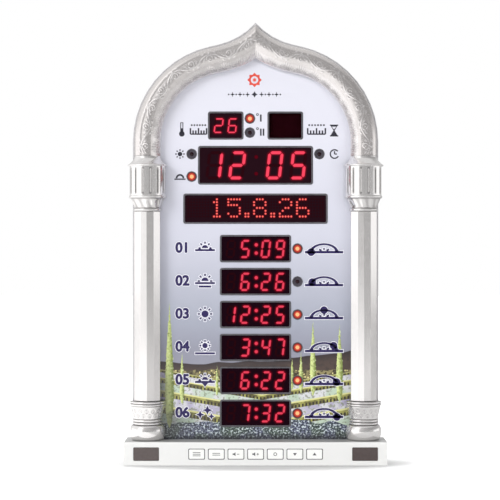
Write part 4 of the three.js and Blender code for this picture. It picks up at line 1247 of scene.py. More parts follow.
# Half of a shaft's section, from its middle ridge outwards: how far to the side and how far forward
SHAFT_SECTION = [(0.0, 17.6), (8.85, 15.3), (17.5, 7.6), (17.5, SEAT_GAP)]


def column_shaft(node):
    """A shaft with two shallow facets in front, a steep one on each side and softened ridges."""
    low, high = node_box(node)
    middle = node_middle(node)[0]
    corners = [(-x, forward) for x, forward in SHAFT_SECTION[:0:-1]] + SHAFT_SECTION
    bpy.ops.mesh.primitive_circle_add(vertices=len(corners), radius=1, fill_type="NGON")
    piece = bpy.context.object
    for vertex, (x, forward) in zip(piece.data.vertices, corners):
        vertex.co = at(middle + x, FRAME_FRONT - forward, low.z)
    open_mesh(piece)
    extrude(z=high.z - low.z)
    close_mesh()
    outward(piece)
    round_edges(piece, lambda x, y, z: y < FRAME_FRONT - 2, 0.5, 3)
    return piece


def columns():
    """Both columns: their turned ends and their faceted shafts."""
    ends = {"capital": capital(), "pedestal": pedestal()}
    for side, way in (("left", -1), ("right", 1)):
        for kind, model in ends.items():
            node = f"{kind}_{side}"
            foot = node_box(node)[0].z
            piece = copy_of(model, (way * COLUMN_X, FRAME_FRONT, foot))
            dress(piece, f"{node}_turned", silver_plate, stands_for=[node], smooth=40)
        node = f"column_shaft_{side}"
        shaft = column_shaft(node)
        dress(shaft, f"shaft_{side}", silver_shaft, stands_for=[node], smooth=8)
    for model in ends.values():
        bpy.data.objects.remove(model)


# Case

NEAR = 0.1  # how close to a plane an edge counts as on it
OUTLINE_OFFSET = 12
FRAME_ROUND = 0.9
BASE_ROUND = 0.7
COVER_ROUND = 1.4


def front_frame():
    """The frame, with the edge round its front softened."""

    def outline(x, y, z):
        return y < FRAME_FRONT + NEAR and ogee_offset(x, z) > OUTLINE_OFFSET

    piece = cad_copy("front_frame")
    round_edges(piece, outline, FRAME_ROUND)
    dress(piece, "frame_shell", silver_paint, stands_for=["front_frame"])


def base_housing():
    """The base, with every outer edge rounded and its top face painted darker as shade."""
    half = node_box("base_housing")[1].x
    height = node_box("base_housing")[1].z

    def outer(x, y, z):
        ends = abs(x) > half - NEAR
        front = y < BASE_FRONT + 2 and (z > height - 2 or z < 2)
        rear = y > REAR_FACE - NEAR and (z > height - NEAR or z < NEAR)
        return ends or front or rear

    piece = cad_copy("base_housing")
    round_edges(piece, outer, BASE_ROUND)
    # Painted shade on the top face and its rounding
    depths = [height - vertex.co.z / MM for vertex in piece.data.vertices]
    store(piece, "relief", [fade(depth, 0.0, BASE_ROUND) for depth in depths])
    dress(piece, "base_shell", pearl, stands_for=["base_housing"])


def rear_cover():
    """The cover, with the edge round its back rounded."""

    def outline(x, y, z):
        return y > REAR_FACE - NEAR and ogee_offset(x, z) > OUTLINE_OFFSET

    piece = cad_copy("rear_cover")
    round_edges(piece, outline, COVER_ROUND, 4)
    dress(piece, "cover_shell", case_grey, stands_for=["rear_cover"])


DOOR_ROUND = 0.3
GROOVE_COUNT = 6
GROOVE_PITCH = 2.0
GROOVE_DROP = 7
GROOVE_SIZE = (16, 1.0, 0.9)


def battery_door():
    """The door, with a grooved thumb rest pressed into its leaf."""
    high = node_box("battery_door")[1]
    piece = cad_copy("battery_door")
    round_edges(piece, lambda x, y, z: y > high.y - NEAR, DOOR_ROUND)
    heights = [high.z - GROOVE_DROP - index * GROOVE_PITCH for index in range(GROOVE_COUNT)]
    grooves = [box_piece(*GROOVE_SIZE, 0, high.y, height) for height in heights]
    subtract(piece, joined(grooves))
    dress(piece, "door_leaf", case_grey, "battery_cover", ["battery_door"])


KEY_ROUND = 0.35
WINDOW_ROUND = 0.3
KEY_KINDS = ["alarm", "down", "mode", "set", "up", "volume_down", "volume_up"]


def keys():
    """Seven keys with softened caps."""
    for kind in KEY_KINDS:
        node = f"key_{kind}"
        piece = cad_copy(node)
        round_edges(piece, lambda x, y, z: y < KEY_FRONT + NEAR, KEY_ROUND)
        dress(piece, f"{node}_cap", key_white, f"{kind}_key", [node])


def sensor_windows():
    """The two smoked windows in the base, softened in front."""
    for node in ("remote_window", "light_window"):
        piece = cad_copy(node)
        round_edges(piece, lambda x, y, z: y < BASE_FRONT + 0.5, WINDOW_ROUND)
        dress(piece, f"{node}_pane", smoked_window, stands_for=[node])


# Windows, collars and lamps

ROWS = [f"row_{index + 1}" for index in range(6)]
DISPLAYS = ["temperature", "countdown", "time", "message"] + ROWS
LAMPS = ["celsius", "fahrenheit", "am", "pm", "summer_time"] + ROWS
LIT_LAMPS = {"celsius", "pm", "row_1", "row_3", "row_4", "row_5", "row_6"}
RIM_WALL = 2.0
RIM_ROUND = 0.45
RIM_SINK = 0.6  # of a rim or collar in the mask's plate
WINDOW_CORNER = 2.6
COLLAR_RADIUS = 7.2
COLLAR_ROUND = 0.3
COLLAR_MOUTH = 6.2
MOUTH_DEPTH = 2.6
MOUTH_FLOOR = 4.6


def window_of(display):
    """A display's window: its middle and its size."""
    node = "message_matrix" if display == "message" else f"{display}_digits"
    low, high = node_box(node)
    return *node_middle(node), high.x - low.x, high.z - low.z


def lamp_place(lamp):
    return node_middle(f"lamp_{lamp}")


def window_rim(x, z, width, height):
    """A rounded frame that stands through the face, softened at its front."""
    bpy.ops.mesh.primitive_plane_add(size=1, rotation=(math.pi / 2, 0, 0))
    piece = bpy.context.object
    piece.scale = (width * MM, height * MM, 1)
    piece.location = at(x, MASK_FRONT + RIM_SINK, z)
    bpy.ops.object.transform_apply(location=True, rotation=True, scale=True)
    open_mesh(piece, "VERT")
    bpy.ops.mesh.bevel(offset=WINDOW_CORNER * MM, segments=6, affect="VERTICES")
    bpy.ops.mesh.select_mode(type="FACE")
    bpy.ops.mesh.select_all(action="SELECT")
    inset(RIM_WALL)
    bpy.ops.mesh.delete(type="FACE")
    bpy.ops.mesh.select_all(action="SELECT")
    extrude(y=RIM_FRONT - MASK_FRONT - RIM_SINK)
    close_mesh()
    outward(piece)
    round_edges(piece, lambda px, py, pz: py < RIM_FRONT + NEAR, RIM_ROUND)
    return piece


def lamp_collar(x, z):
    """A round collar with a hollow mouth."""
    piece = rod(COLLAR_RADIUS, RIM_FRONT, MASK_FRONT + RIM_SINK, x, z, 40)
    open_mesh(piece)
    pick(piece, "faces", faces_front)
    inset(COLLAR_RADIUS - COLLAR_MOUTH)
    extrude(y=MOUTH_DEPTH)
    share = MOUTH_FLOOR / COLLAR_MOUTH
    middle = at(x, RIM_FRONT + MOUTH_DEPTH, z)
    bpy.ops.transform.resize(value=(share, 1, share), center_override=middle)
    close_mesh()
    round_edges(piece, lambda px, py, pz: py < RIM_FRONT + NEAR, COLLAR_ROUND)
    return piece


def close_rim(x, z, half_width, half_height):
    """In edit mode, closes the cut between the outer and inner wall of one opening's rim."""

    def on_cut(edge):
        ends = [vertex.co / MM for vertex in edge.verts]
        near = all(abs(p.x - x) < half_width and abs(p.z - z) < half_height for p in ends)
        return edge.is_boundary and near

    pick(bpy.context.object, "edges", on_cut)
    bpy.ops.mesh.bridge_edge_loops()


def display_mask():
    """The mask's plate and posts as they are, with smooth rims and collars for its faceted ones."""
    plate = cad_copy("display_mask")
    open_mesh(plate, "EDGE")
    cut = (0, (MASK_FRONT - NEAR) * MM, 0)
    bpy.ops.mesh.bisect(plane_co=cut, plane_no=(0, -1, 0), clear_outer=True)
    for display in DISPLAYS:
        x, z, width, height = window_of(display)
        close_rim(x, z, width / 2 + 1, height / 2 + 1)
    for lamp in LAMPS:
        close_rim(*lamp_place(lamp), COLLAR_RADIUS + 0.5, COLLAR_RADIUS + 0.5)
    close_mesh()
    pieces = [plate]
    pieces += [window_rim(*window_of(display)) for display in DISPLAYS]
    pieces += [lamp_collar(*lamp_place(lamp)) for lamp in LAMPS]
    dress(joined(pieces), "window_rims", mask_grey, stands_for=["display_mask"], smooth=35)


def set_glow(piece, value_of):
    """Stores how brightly each vertex shines, from its place in millimetres."""
    store(piece, "glow", [value_of(*(vertex.co / MM)) for vertex in piece.data.vertices])


LAMP_RADIUS = 4.0
SPACER_RADIUS = 4.6
BARREL_RISE = 3.6
DOME_STEPS = 10
CORE_RADIUS = 1.6  # of a lit lamp's brightest part
GLOW_RADIUS = 4.2  # where a lamp's light ends and its cone's starts

# The cone round a lamp: its radii, its rise, its foot and the wall at its mouth
CONE_RADIUS = 4.1
CONE_FLOOR = 4.12
CONE_MOUTH = 5.9
CONE_RISE = 2.0
CONE_FOOT = 0.4
CONE_WALL = 0.15
CONE_CLEARANCE = 0.05


def lamp_body():
    """A round lamp with a domed lens on its spacer, growing along Z from the board."""
    low, high = node_box("lamp_celsius")
    spacer_rise = high.y - low.y - BARREL_RISE - LAMP_RADIUS
    rings = Rings(SPACER_RADIUS).to(SPACER_RADIUS, spacer_rise)
    rings.to(LAMP_RADIUS).to(LAMP_RADIUS, BARREL_RISE, 2)
    for step in range(1, DOME_STEPS + 1):
        turn = math.pi / 2 * step / DOME_STEPS
        radius = max(0.05, LAMP_RADIUS * math.cos(turn))
        rings.rings.append((radius, rings.height + LAMP_RADIUS * math.sin(turn)))
    return turned(rings.rings, 28)


def lamp_reflector():
    """The cone round a lamp that catches its light; a lit lamp's glow on it is painted."""
    foot_radius = CONE_RADIUS + CONE_CLEARANCE
    rings = Rings(CONE_RADIUS).to(foot_radius, CONE_FOOT).to(CONE_MOUTH, CONE_RISE, 6)
    piece = turned(rings.rings, 36)
    open_mesh(piece)
    pick(piece, "faces", faces_up)
    inset(CONE_WALL)
    floor_height = CONE_FOOT + CONE_CLEARANCE
    extrude(z=floor_height - rings.height)
    share = CONE_FLOOR / (CONE_MOUTH - CONE_WALL)
    bpy.ops.transform.resize(value=(share, share, 1), center_override=at(0, 0, floor_height))
    close_mesh()
    return piece


def lamps():
    """Every lamp with its cone; seven of them are lit."""
    model = lamp_body()
    cone = lamp_reflector()
    for lamp in LAMPS:
        x, z = lamp_place(lamp)
        node = f"lamp_{lamp}"
        lens_finish, cone_finish = lamp_dark, reflector_dark
        # A lit lamp's cone gets a painted glow of its light
        if lamp in LIT_LAMPS:
            lens_finish, cone_finish = lamp_lit, reflector_lit
        lens = facing_front(copy_of(model), x, node_box(node)[1].y, z)
        set_glow(lens, lambda px, py, pz: 1 - fade(math.hypot(px - x, pz - z), CORE_RADIUS, GLOW_RADIUS))
        dress(lens, f"{node}_lens", lens_finish, stands_for=[node], smooth=60)
        ring = facing_front(copy_of(cone), x, MASK_FRONT - CONE_CLEARANCE, z)
        set_glow(ring, lambda px, py, pz: 1 - fade(math.hypot(px - x, pz - z), GLOW_RADIUS, CONE_MOUTH))
        dress(ring, f"{node}_cone", cone_finish, smooth=60)
    bpy.data.objects.remove(model)
    bpy.data.objects.remove(cone)


# Digits

SEGMENTS_OF = {
    "0": "abcdef",
    "1": "bc",
    "2": "abged",
    "3": "abgcd",
    "4": "fgbc",
    "5": "afgcd",
    "6": "afgedc",
    "7": "abc",
    "8": "abcdefg",
    "9": "abcdfg",
    " ": "",
}
SLANT = math.tan(math.radians(6.5))
SEGMENT_FRONT = MODULE_FRONT - 0.02
BAR_THICKNESS = 0.12
BAR_EDGE = 0.14  # of a bar's stroke
BAR_GAP = 0.12  # of a bar's stroke
DOT_EDGE = 0.35  # of a dot's radius
HALO_STEP = 1.0
HALO_REACH = 2.8
HALO_FRONT = MODULE_FRONT - 0.004
HALO_THICKNESS = 0.003
MESSAGE_HALO_SHARE = 0.4


def segment_places(width, height, stroke):
    """Where each bar of a digit lies from the digit's middle, its length, and whether it stands."""
    half_w, half_h = (width - stroke) / 2, (height - stroke) / 2
    gap = stroke * BAR_GAP
    flat, tall = 2 * half_w - 2 * gap, half_h - 2 * gap
    return {
        "a": (0, half_h, flat, False),
        "g": (0, 0, flat, False),
        "d": (0, -half_h, flat, False),
        "f": (-half_w, half_h / 2, tall, True),
        "b": (half_w, half_h / 2, tall, True),
        "e": (-half_w, -half_h / 2, tall, True),
        "c": (half_w, -half_h / 2, tall, True),
    }


def bar_mesh(length, stroke):
    """A six-sided bar along X, with its brightness falling off towards its rim."""
    bpy.ops.mesh.primitive_circle_add(vertices=6, radius=1, fill_type="NGON")
    piece = bpy.context.object
    half, side = length / 2, stroke / 2
    shoulder = half - side
    corners = [(half, 0), (shoulder, side), (-shoulder, side)]
    corners += [(-x, -y) for x, y in corners]
    order = sorted(piece.data.vertices, key=lambda v: math.atan2(v.co.y, v.co.x) % (2 * math.pi - 1e-4))
    for vertex, (x, y) in zip(order, corners):
        vertex.co = at(x, y, 0)
    open_mesh(piece)
    extrude(z=BAR_THICKNESS)
    inset(stroke * BAR_EDGE)
    close_mesh()
    outward(piece)

    def brightness(x, y, z):
        inner = abs(y) < stroke * (0.52 - BAR_EDGE) and abs(x) < half - NEAR
        return 1.0 if inner and z > BAR_THICKNESS / 2 else 0.0

    set_glow(piece, brightness)
    return piece


def lay_bar(model, x, z, middle_x, middle_z, stands):
    """Places a bar of a slanting digit on the module's front."""
    piece = copy_of(model)
    turn = Matrix.Rotation(math.pi / 2 if stands else 0, 4, "Z")
    lean = Matrix(((1, SLANT, 0, 0), (0, 1, 0, 0), (0, 0, 1, 0), (0, 0, 0, 1)))
    shift = Matrix.Translation(at(x - middle_x, z - middle_z, 0))
    front = Matrix.Translation(at(middle_x, SEGMENT_FRONT, middle_z))
    piece.data.transform(front @ UPRIGHT @ lean @ shift @ turn)
    return piece


def digit_bars(text, places, z, width, height, stroke):
    """The lit and the unlit bars of a row of digits, and where the lit ones run."""
    lit, dim, lines = [], [], []
    table = segment_places(width, height, stroke)
    lengths = {stands: length for _, _, length, stands in table.values()}
    models = {stands: bar_mesh(length, stroke) for stands, length in lengths.items()}
    for digit, x in zip(text, places):
        for name, (dx, dz, length, stands) in table.items():
            bar = lay_bar(models[stands], x + dx, z + dz, x, z, stands)
            if name in SEGMENTS_OF[digit]:
                lit.append(bar)
                lines.append(bar_ends(x, z, dx, dz, length, stands, stroke))
            else:
                dim.append(bar)
    for model in models.values():
        bpy.data.objects.remove(model)
    return lit, dim, lines


def round_dot(radius, x, z, steps=20):
    """A flat round lamp face whose light falls off at its rim."""
    piece = rod(radius, SEGMENT_FRONT - BAR_THICKNESS, SEGMENT_FRONT, x, z, steps)
    open_mesh(piece)
    pick(piece, "faces", faces_front)
    inset(radius * DOT_EDGE)
    close_mesh()
    set_glow(piece, lambda px, py, pz: 1.0 if math.hypot(px - x, pz - z) < radius * 0.7 else 0.0)
    return piece


def halo(name, x, z, width, height, lit_places):
    """The module's front, faintly lit round each lit bar: closed behind, a fine grid in front."""
    columns, rows = round(width / HALO_STEP), round(height / HALO_STEP)
    bpy.ops.mesh.primitive_grid_add(x_subdivisions=columns, y_subdivisions=rows, size=1)
    piece = bpy.context.object
    grid = piece.data
    grid.transform(Matrix.Diagonal((width * MM, height * MM, 1, 1)))
    grid.transform(UPRIGHT)
    grid.transform(Matrix.Translation(at(x, HALO_FRONT, z)))
    open_mesh(piece, "EDGE")
    bpy.ops.mesh.select_all(action="DESELECT")
    bpy.ops.mesh.select_non_manifold()
    back = (0, HALO_THICKNESS * MM, 0)
    bpy.ops.mesh.extrude_edges_move(TRANSFORM_OT_translate={"value": back})
    bpy.ops.mesh.edge_face_add()
    close_mesh()
    outward(piece)
    strength = MESSAGE_HALO_SHARE if name.startswith("message") else 1.0

    def glow_at(px, py, pz):
        near = min(segment_distance(px, pz, ends) for ends in lit_places)
        return strength * max(0.0, 1 - near / HALO_REACH) ** 2

    set_glow(piece, glow_at)
    dress(piece, name, halo_deep if name.startswith("row") else halo_red)


def segment_distance(x, z, ends):
    """How far a place lies from a straight stroke."""
    (x0, z0), (x1, z1), half = ends
    length = math.hypot(x1 - x0, z1 - z0)
    share = 0.0
    if length > 0:
        share = ((x - x0) * (x1 - x0) + (z - z0) * (z1 - z0)) / length**2
    share = min(1.0, max(0.0, share))
    return max(0.0, math.hypot(x - x0 - (x1 - x0) * share, z - z0 - (z1 - z0) * share) - half)


def bar_ends(x, z, dx, dz, length, stands, stroke):
    """The two ends of a slanting bar's middle line, and half its stroke."""
    reach = (length - stroke) / 2
    ends = []
    for way in (-1, 1):
        along, up = (0, way * reach) if stands else (way * reach, 0)
        ends.append((x + dx + along + SLANT * (dz + up), z + dz + up))
    return ends[0], ends[1], stroke / 2


# A digit's width, height and stroke
SMALL_DIGIT = (12.2, 20.4, 2.05)
TIME_DIGIT = (21.2, 38.8, 4.4)
ROW_DIGIT = (12.7, 25.1, 3.0)

# Each digit's middle across the face, and the heights of the middles
TEMPERATURE_CELLS = [-50.2, -31.4]
COUNTDOWN_CELLS = [30.9, 49.7]
TIME_CELLS = [-56.0, -24.9, 26.0, 58.2]
ROW_CELLS = [-33.6, -14.0, 14.0, 33.4]
SMALL_DIGIT_HEIGHT = 458.7
TIME_DIGIT_HEIGHT = 404.6
ROW_DROP = 0.4  # of a row's digits below their window's middle
ROW_TEXTS = [" 509", " 626", "1225", " 347", " 622", " 732"]

# A colon's place across, its dots' radius and their distance from its middle
COLON_X = 1.0
ROW_DOT = 2.5
ROW_COLON_RISE = 5.6
TIME_DOT = 2.8
TIME_COLON_RISE = 11.4


def seven_segment_displays():
    """Every seven-segment display, its lit bars and its unlit ones."""
    plans = [("temperature", "26", TEMPERATURE_CELLS, SMALL_DIGIT_HEIGHT, SMALL_DIGIT)]
    plans.append(("countdown", "  ", COUNTDOWN_CELLS, SMALL_DIGIT_HEIGHT, SMALL_DIGIT))
    plans.append(("time", "1205", TIME_CELLS, TIME_DIGIT_HEIGHT, TIME_DIGIT))
    for row, text in zip(ROWS, ROW_TEXTS):
        plans.append((row, text, ROW_CELLS, window_of(row)[1] - ROW_DROP, ROW_DIGIT))
    for name, text, places, z, digit in plans:
        lit, dim, lines = digit_bars(text, places, z, *digit)
        if name in ROWS:
            spots = [(COLON_X, z - ROW_COLON_RISE), (COLON_X, z + ROW_COLON_RISE)]
            lit += [round_dot(ROW_DOT, *spot) for spot in spots]
            lines += [(spot, spot, ROW_DOT) for spot in spots]
        if name == "time":
            spots = [(COLON_X, z - TIME_COLON_RISE), (COLON_X, z + TIME_COLON_RISE)]
            colon = joined([round_dot(TIME_DOT, *spot) for spot in spots])
            dress(colon, "time_unlit_colon", colon_dim)
        if lit:
            dress(joined(lit), f"{name}_lit_bars", segment_lit)
            halo(f"{name}_halo", *window_of(name), lines)
        # Unlit bars of a lit display get a painted faint glow
        unlit = segment_dim if lit else module_black
        dress(joined(dim), f"{name}_unlit_bars", unlit)


# A plain date in dots: five columns of seven for a digit, two for a stop
DOT_FONT = {
    "0": ["01110", "10001", "10001", "10001", "10001", "10001", "01110"],
    "1": ["00100", "01100", "00100", "00100", "00100", "00100", "01110"],
    "2": ["01110", "10001", "00001", "00110", "01000", "10000", "11111"],
    "5": ["11111", "10000", "11110", "00001", "00001", "10001", "01110"],
    "6": ["01110", "10000", "10000", "11110", "10001", "10001", "01110"],
    "8": ["01110", "10001", "10001", "01110", "10001", "10001", "01110"],
    ".": ["00", "00", "00", "00", "00", "11", "11"],
}
DATE = "15.8.26"
DOT_PITCH = 3.9
DOT_RADIUS = 1.5
MATRIX_COLUMNS = 48
MATRIX_ROWS = 7
FIRST_COLUMN = 8
MATRIX_LIFT = 1.2


def date_cells():
    """The column and row of every lit dot."""
    cells = set()
    column = FIRST_COLUMN
    for letter in DATE:
        rows = DOT_FONT[letter]
        for row, line in enumerate(rows):
            cells |= {(column + step, row) for step, mark in enumerate(line) if mark == "1"}
        column += len(rows[0]) + 1
    return cells


def message_matrix():
    """The dot matrix: a date in lit dots among unlit ones."""
    middle_x, middle_z, _, _ = window_of("message")
    lit_cells = date_cells()
    model = round_dot(DOT_RADIUS, 0, 0, 10)
    lit, dim, lines = [], [], []
    for column in range(MATRIX_COLUMNS):
        for row in range(MATRIX_ROWS):
            x = middle_x + (column - (MATRIX_COLUMNS - 1) / 2) * DOT_PITCH
            z = middle_z + MATRIX_LIFT + ((MATRIX_ROWS - 1) / 2 - row) * DOT_PITCH
            dot = copy_of(model, (x, 0, z))
            if (column, row) in lit_cells:
                lit.append(dot)
                lines.append(((x, z), (x, z), DOT_RADIUS))
            else:
                dim.append(dot)
    bpy.data.objects.remove(model)
    dress(joined(lit), "message_lit_dots", dot_lit)
    # The unlit dots get the same painted faint glow
    dress(joined(dim), "message_unlit_dots", segment_dim)
    halo("message_halo", *window_of("message"), lines)


# Flat print


def ring_points(x, z, radius, count=28):
    """A circle as a closed line."""
    angles = [2 * math.pi / count * index for index in range(count)]
    return [(x + radius * math.cos(angle), z + radius * math.sin(angle)) for angle in angles]


def stroke_points(x0, z0, x1, z1, width, grow=0.0):
    """A straight bar between two points."""
    along = Vector((x1 - x0, z1 - z0)).normalized()
    side = Vector((-along.y, along.x)) * (width / 2 + grow)
    start = Vector((x0, z0)) - along * grow
    end = Vector((x1, z1)) + along * grow
    return [tuple(p) for p in (start + side, start - side, end - side, end + side)]


def star_points(x, z, outer, inner, count, turn=math.pi / 2):
    """A star with as many points as are asked."""
    points = []
    for index in range(2 * count):
        radius = outer if index % 2 == 0 else inner
        angle = turn + math.pi * index / count
        points.append((x + radius * math.cos(angle), z + radius * math.sin(angle)))
    return points


def arc_band(x, z, radius, width, start, end, squash=1.0, grow=0.0, count=28):
    """A bent stripe between two angles, in degrees."""
    spare = math.degrees(grow / radius)
    sweep = end - start + 2 * spare
    angles = [math.radians(start - spare + sweep * index / count) for index in range(count + 1)]
    half = width / 2 + grow
    points = []
    for reach, order in ((radius + half, angles), (radius - half, angles[::-1])):
        points += [(x + reach * math.cos(a), z + squash * reach * math.sin(a)) for a in order]
    return points


def made_solid(drawing, x, front, z):
    """A flat drawing as a thin closed plate that faces the front."""
    drawing.extrude = PRINT_THICKNESS / 2 * MM
    only(add_object("drawing", drawing))
    bpy.ops.object.convert(target="MESH")
    piece = bpy.context.object
    piece.data.transform(Matrix.Translation(at(x, front + PRINT_THICKNESS / 2, z)) @ UPRIGHT)
    return piece


def flat_shape(outlines, front):
    """One flat shape with its holes, drawn in X and Z, as a thin plate."""
    drawing = bpy.data.curves.new("drawing", "CURVE")
    drawing.dimensions = "2D"
    drawing.fill_mode = "BOTH"
    for outline in outlines:
        line = drawing.splines.new("POLY")
        line.points.add(len(outline) - 1)
        for point, (x, z) in zip(line.points, outline):
            point.co = (x * MM, z * MM, 0, 1)
        line.use_cyclic_u = True
    return made_solid(drawing, 0, front, 0)


EIGHTHS = [math.pi * step / 4 for step in range(8)]
NUMBER_STEP = 0.002  # forwards from one copy of a bold number to the next


def number_shape(text, x, z, size, front, grow=0.0):
    """A plain number as a thin plate, made bolder all round by as much as is asked."""
    drawing = bpy.data.curves.new("number", "FONT")
    drawing.body = text
    drawing.size = size * MM
    drawing.align_x = "CENTER"
    drawing.align_y = "CENTER"
    piece = made_solid(drawing, x, front, z)
    grown = []
    for step, turn in enumerate(EIGHTHS):
        move = (grow * math.cos(turn), -(step + 1) * NUMBER_STEP, grow * math.sin(turn))
        grown.append(copy_of(piece, move))
    return joined([piece] + grown)


def layer(number):
    """The front of a layer of print, counted from the face outwards."""
    return PANEL_FRONT - number * PRINT_STEP


def print_shapes(name, shapes, front, finish, body=BODY):
    """Prints many flat shapes in one ink."""
    pieces = [flat_shape(outlines, front) for outlines in shapes]
    dress(joined(pieces), name, finish, body)


def placed(shapes, x, z, scale=1.0):
    """Shapes drawn round zero, at a place and in a scale."""

    def moved(line):
        return [(x + scale * px, z + scale * pz) for px, pz in line]

    return [[moved(line) for line in outlines] for outlines in shapes]


# Icons, drawn round zero in millimetres and grown all round where a white edge goes under them
ICON_STROKE = 1.8
RAY_START = 1.4  # of a sun's radius
RAY_END = 2.1  # of a sun's radius
RAY_STROKE = 1.5
ALL_ROUND = range(8)
OVER_HORIZON = range(5)
HORIZON_HALF = 9.0
HORIZON_DROP = -1.9


def half_disc(radius, grow):
    """The upper half of a sun's disc."""
    angles = [math.pi * step / 16 for step in range(17)]
    wide, tall = radius + grow, radius + 2 * grow
    return [(wide * math.cos(angle), tall * math.sin(angle) - grow) for angle in angles]


def sun_icon(radius, grow=0.0, rays=ALL_ROUND, stroke=RAY_STROKE):
    """A sun with rays at eighths of a turn, whole or as the half over a horizon."""
    disc = ring_points(0, 0, radius + grow) if rays is ALL_ROUND else half_disc(radius, grow)
    shapes = [[disc]]
    for index in rays:
        cosine, sine = math.cos(index * math.pi / 4), math.sin(index * math.pi / 4)
        start, end = radius * RAY_START, radius * RAY_END
        ends = (start * cosine, start * sine, end * cosine, end * sine)
        shapes.append([stroke_points(*ends, stroke, grow)])
    return shapes


def flat_stroke(half, z, grow=0.0, width=ICON_STROKE):
    """A level bar."""
    return [stroke_points(-half, z, half, z, width, grow)]


def day_icon(row, grow):
    """A picture of the time of day that a row stands for."""
    horizon = flat_stroke(HORIZON_HALF, HORIZON_DROP, grow)
    if row == 0:
        return sun_icon(2.8, grow, OVER_HORIZON) + [horizon]
    if row == 1:
        return sun_icon(3.2, grow, OVER_HORIZON) + [horizon, flat_stroke(5.6, -5.0, grow)]
    if row == 2:
        return sun_icon(3.2, grow)
    if row == 3:
        return placed(sun_icon(2.4, grow), 0, 1.2) + [flat_stroke(HORIZON_HALF, -5.8, grow)]
    if row == 4:
        arrow = [(-2.6 - grow, -2.9 + grow), (2.6 + grow, -2.9 + grow), (0, -6.4 - 1.6 * grow)]
        return sun_icon(2.8, grow, OVER_HORIZON) + [horizon, [arrow]]
    stars = [(-4.4, -1.6, 3.8), (2.2, 2.4, 4.4), (5.8, -3.2, 3.0)]
    return [[star_points(x, z, size + 1.8 * grow, size * 0.42 + grow, 4)] for x, z, size in stars]


SUN_PATH_RADIUS = 17.5
SUN_PATH_SQUASH = 0.62
SUN_PATH_FOOT = -5.6
SUN_PATH_STROKE = 4.2
SUN_PATH_TURNS = [180, 158, 90, 42, 14, 0]
BEAD_RADIUS = 5.2
TICK_ENDS = (5.0, 9.5)
TICK_STROKE = 2.2


def sun_path_icon(row, grow):
    """The sun's way over the horizon, with a bead where it stands at that row's time."""

    def spot(radius, degrees):
        turn = math.radians(degrees)
        return radius * math.cos(turn), radius * SUN_PATH_SQUASH * math.sin(turn) + SUN_PATH_FOOT

    way = (0, SUN_PATH_FOOT, SUN_PATH_RADIUS, SUN_PATH_STROKE, 0, 180, SUN_PATH_SQUASH)
    shapes = [[arc_band(*way, grow)], flat_stroke(26.0, SUN_PATH_FOOT, grow, 3.4)]
    shapes.append([ring_points(*spot(SUN_PATH_RADIUS, SUN_PATH_TURNS[row]), BEAD_RADIUS + grow)])
    start, end = TICK_ENDS
    for tick in (45, 90, 135):
        shapes.append([stroke_points(*spot(start, tick), *spot(end, tick), TICK_STROKE, grow)])
    return shapes


# Labels of the rows, with the columns of the photograph at which they stand
LABEL_EDGE = 0.8
LABEL_LIFT = 0.8
DAY_SCALE = 1.5
NUMBER_SIZE = 19.0
NUMBER_WEIGHT = 0.85
NUMBER_COLUMN = 182.5
DAY_COLUMN = 205
SUN_PATH_COLUMN = 324


def row_labels():
    """A number and a picture left of each row, and the sun's way right of it, navy with a white edge."""
    for part, finish, grow, front in (
        ("edge", ink_white, LABEL_EDGE, layer(1)),
        ("fill", ink_navy, 0.0, layer(2)),
    ):
        shapes, pieces = [], []
        for index, row in enumerate(ROWS):
            z = window_of(row)[1] + LABEL_LIFT
            shapes += placed(day_icon(index, grow / DAY_SCALE), face_x(DAY_COLUMN), z, DAY_SCALE)
            shapes += placed(sun_path_icon(index, grow), face_x(SUN_PATH_COLUMN), z)
            number = (f"0{index + 1}", face_x(NUMBER_COLUMN), z, NUMBER_SIZE)
            pieces.append(number_shape(*number, front, NUMBER_WEIGHT + grow))
        pieces += [flat_shape(outlines, front) for outlines in shapes]
        dress(joined(pieces), f"row_label_{part}", finish)


# Where the upper marks stand, in columns and rows of the photograph
THERMOMETER_SPOT = (181.8, 129.0)
LEFT_SCALE_SPOT = (198.5, 131.5)
RIGHT_SCALE_SPOT = (316.5, 131.5)
HOURGLASS_SPOT = (334.0, 130.6)
SIGN_COLUMN = 180.0
DIAL_COLUMN = 334.5
DEGREE_COLUMN = 258.6
STAR_SPOT = (254.5, 80.0)
DIVIDER_ROW = 94.5


def face_spot(spot):
    """A column and row of the photograph as a place on the face, in millimetres."""
    return face_x(spot[0]), face_z(spot[1])


def thermometer_icon():
    """A tube and a bulb."""
    tube = [stroke_points(0, -4, 0, 9, 4.2), stroke_points(0, -3, 0, 8, ICON_STROKE)]
    return [tube, [ring_points(0, -6.6, 3.8)], [stroke_points(0, -6, 0, 1, ICON_STROKE)]]


def hourglass_icon():
    """Two bulbs between two plates, the lower one full."""
    glass = [(-4.6, 6.4), (4.6, 6.4), (0.8, 0), (4.6, -6.4), (-4.6, -6.4), (-0.8, 0)]
    hollow = [(-3.0, 5.3), (3.0, 5.3), (0, 1.4)]
    return [[glass, hollow], flat_stroke(5.6, 7.2), flat_stroke(5.6, -7.2)]


SCALE_FOOT = -3.6
SCALE_TALL = 8.2
SCALE_SHORT = 5.0
SCALE_STROKE = 2.1
SCALE_DOT = 1.3
SCALE_DOT_HEIGHT = 8.6


def scale_icon(width, count):
    """A small graduated scale under a row of dots."""
    shapes = [flat_stroke(width / 2, SCALE_FOOT)]
    for index in range(count - 1):
        place = width * ((index + 0.5) / (count - 1) - 0.5)
        shapes.append([ring_points(place, SCALE_DOT_HEIGHT, SCALE_DOT, 12)])
    for index in range(count):
        place = width * (index / (count - 1) - 0.5)
        rise = SCALE_TALL if index % 3 == 0 else SCALE_SHORT
        shapes.append([stroke_points(place, SCALE_FOOT, place, SCALE_FOOT + rise, SCALE_STROKE)])
    return shapes


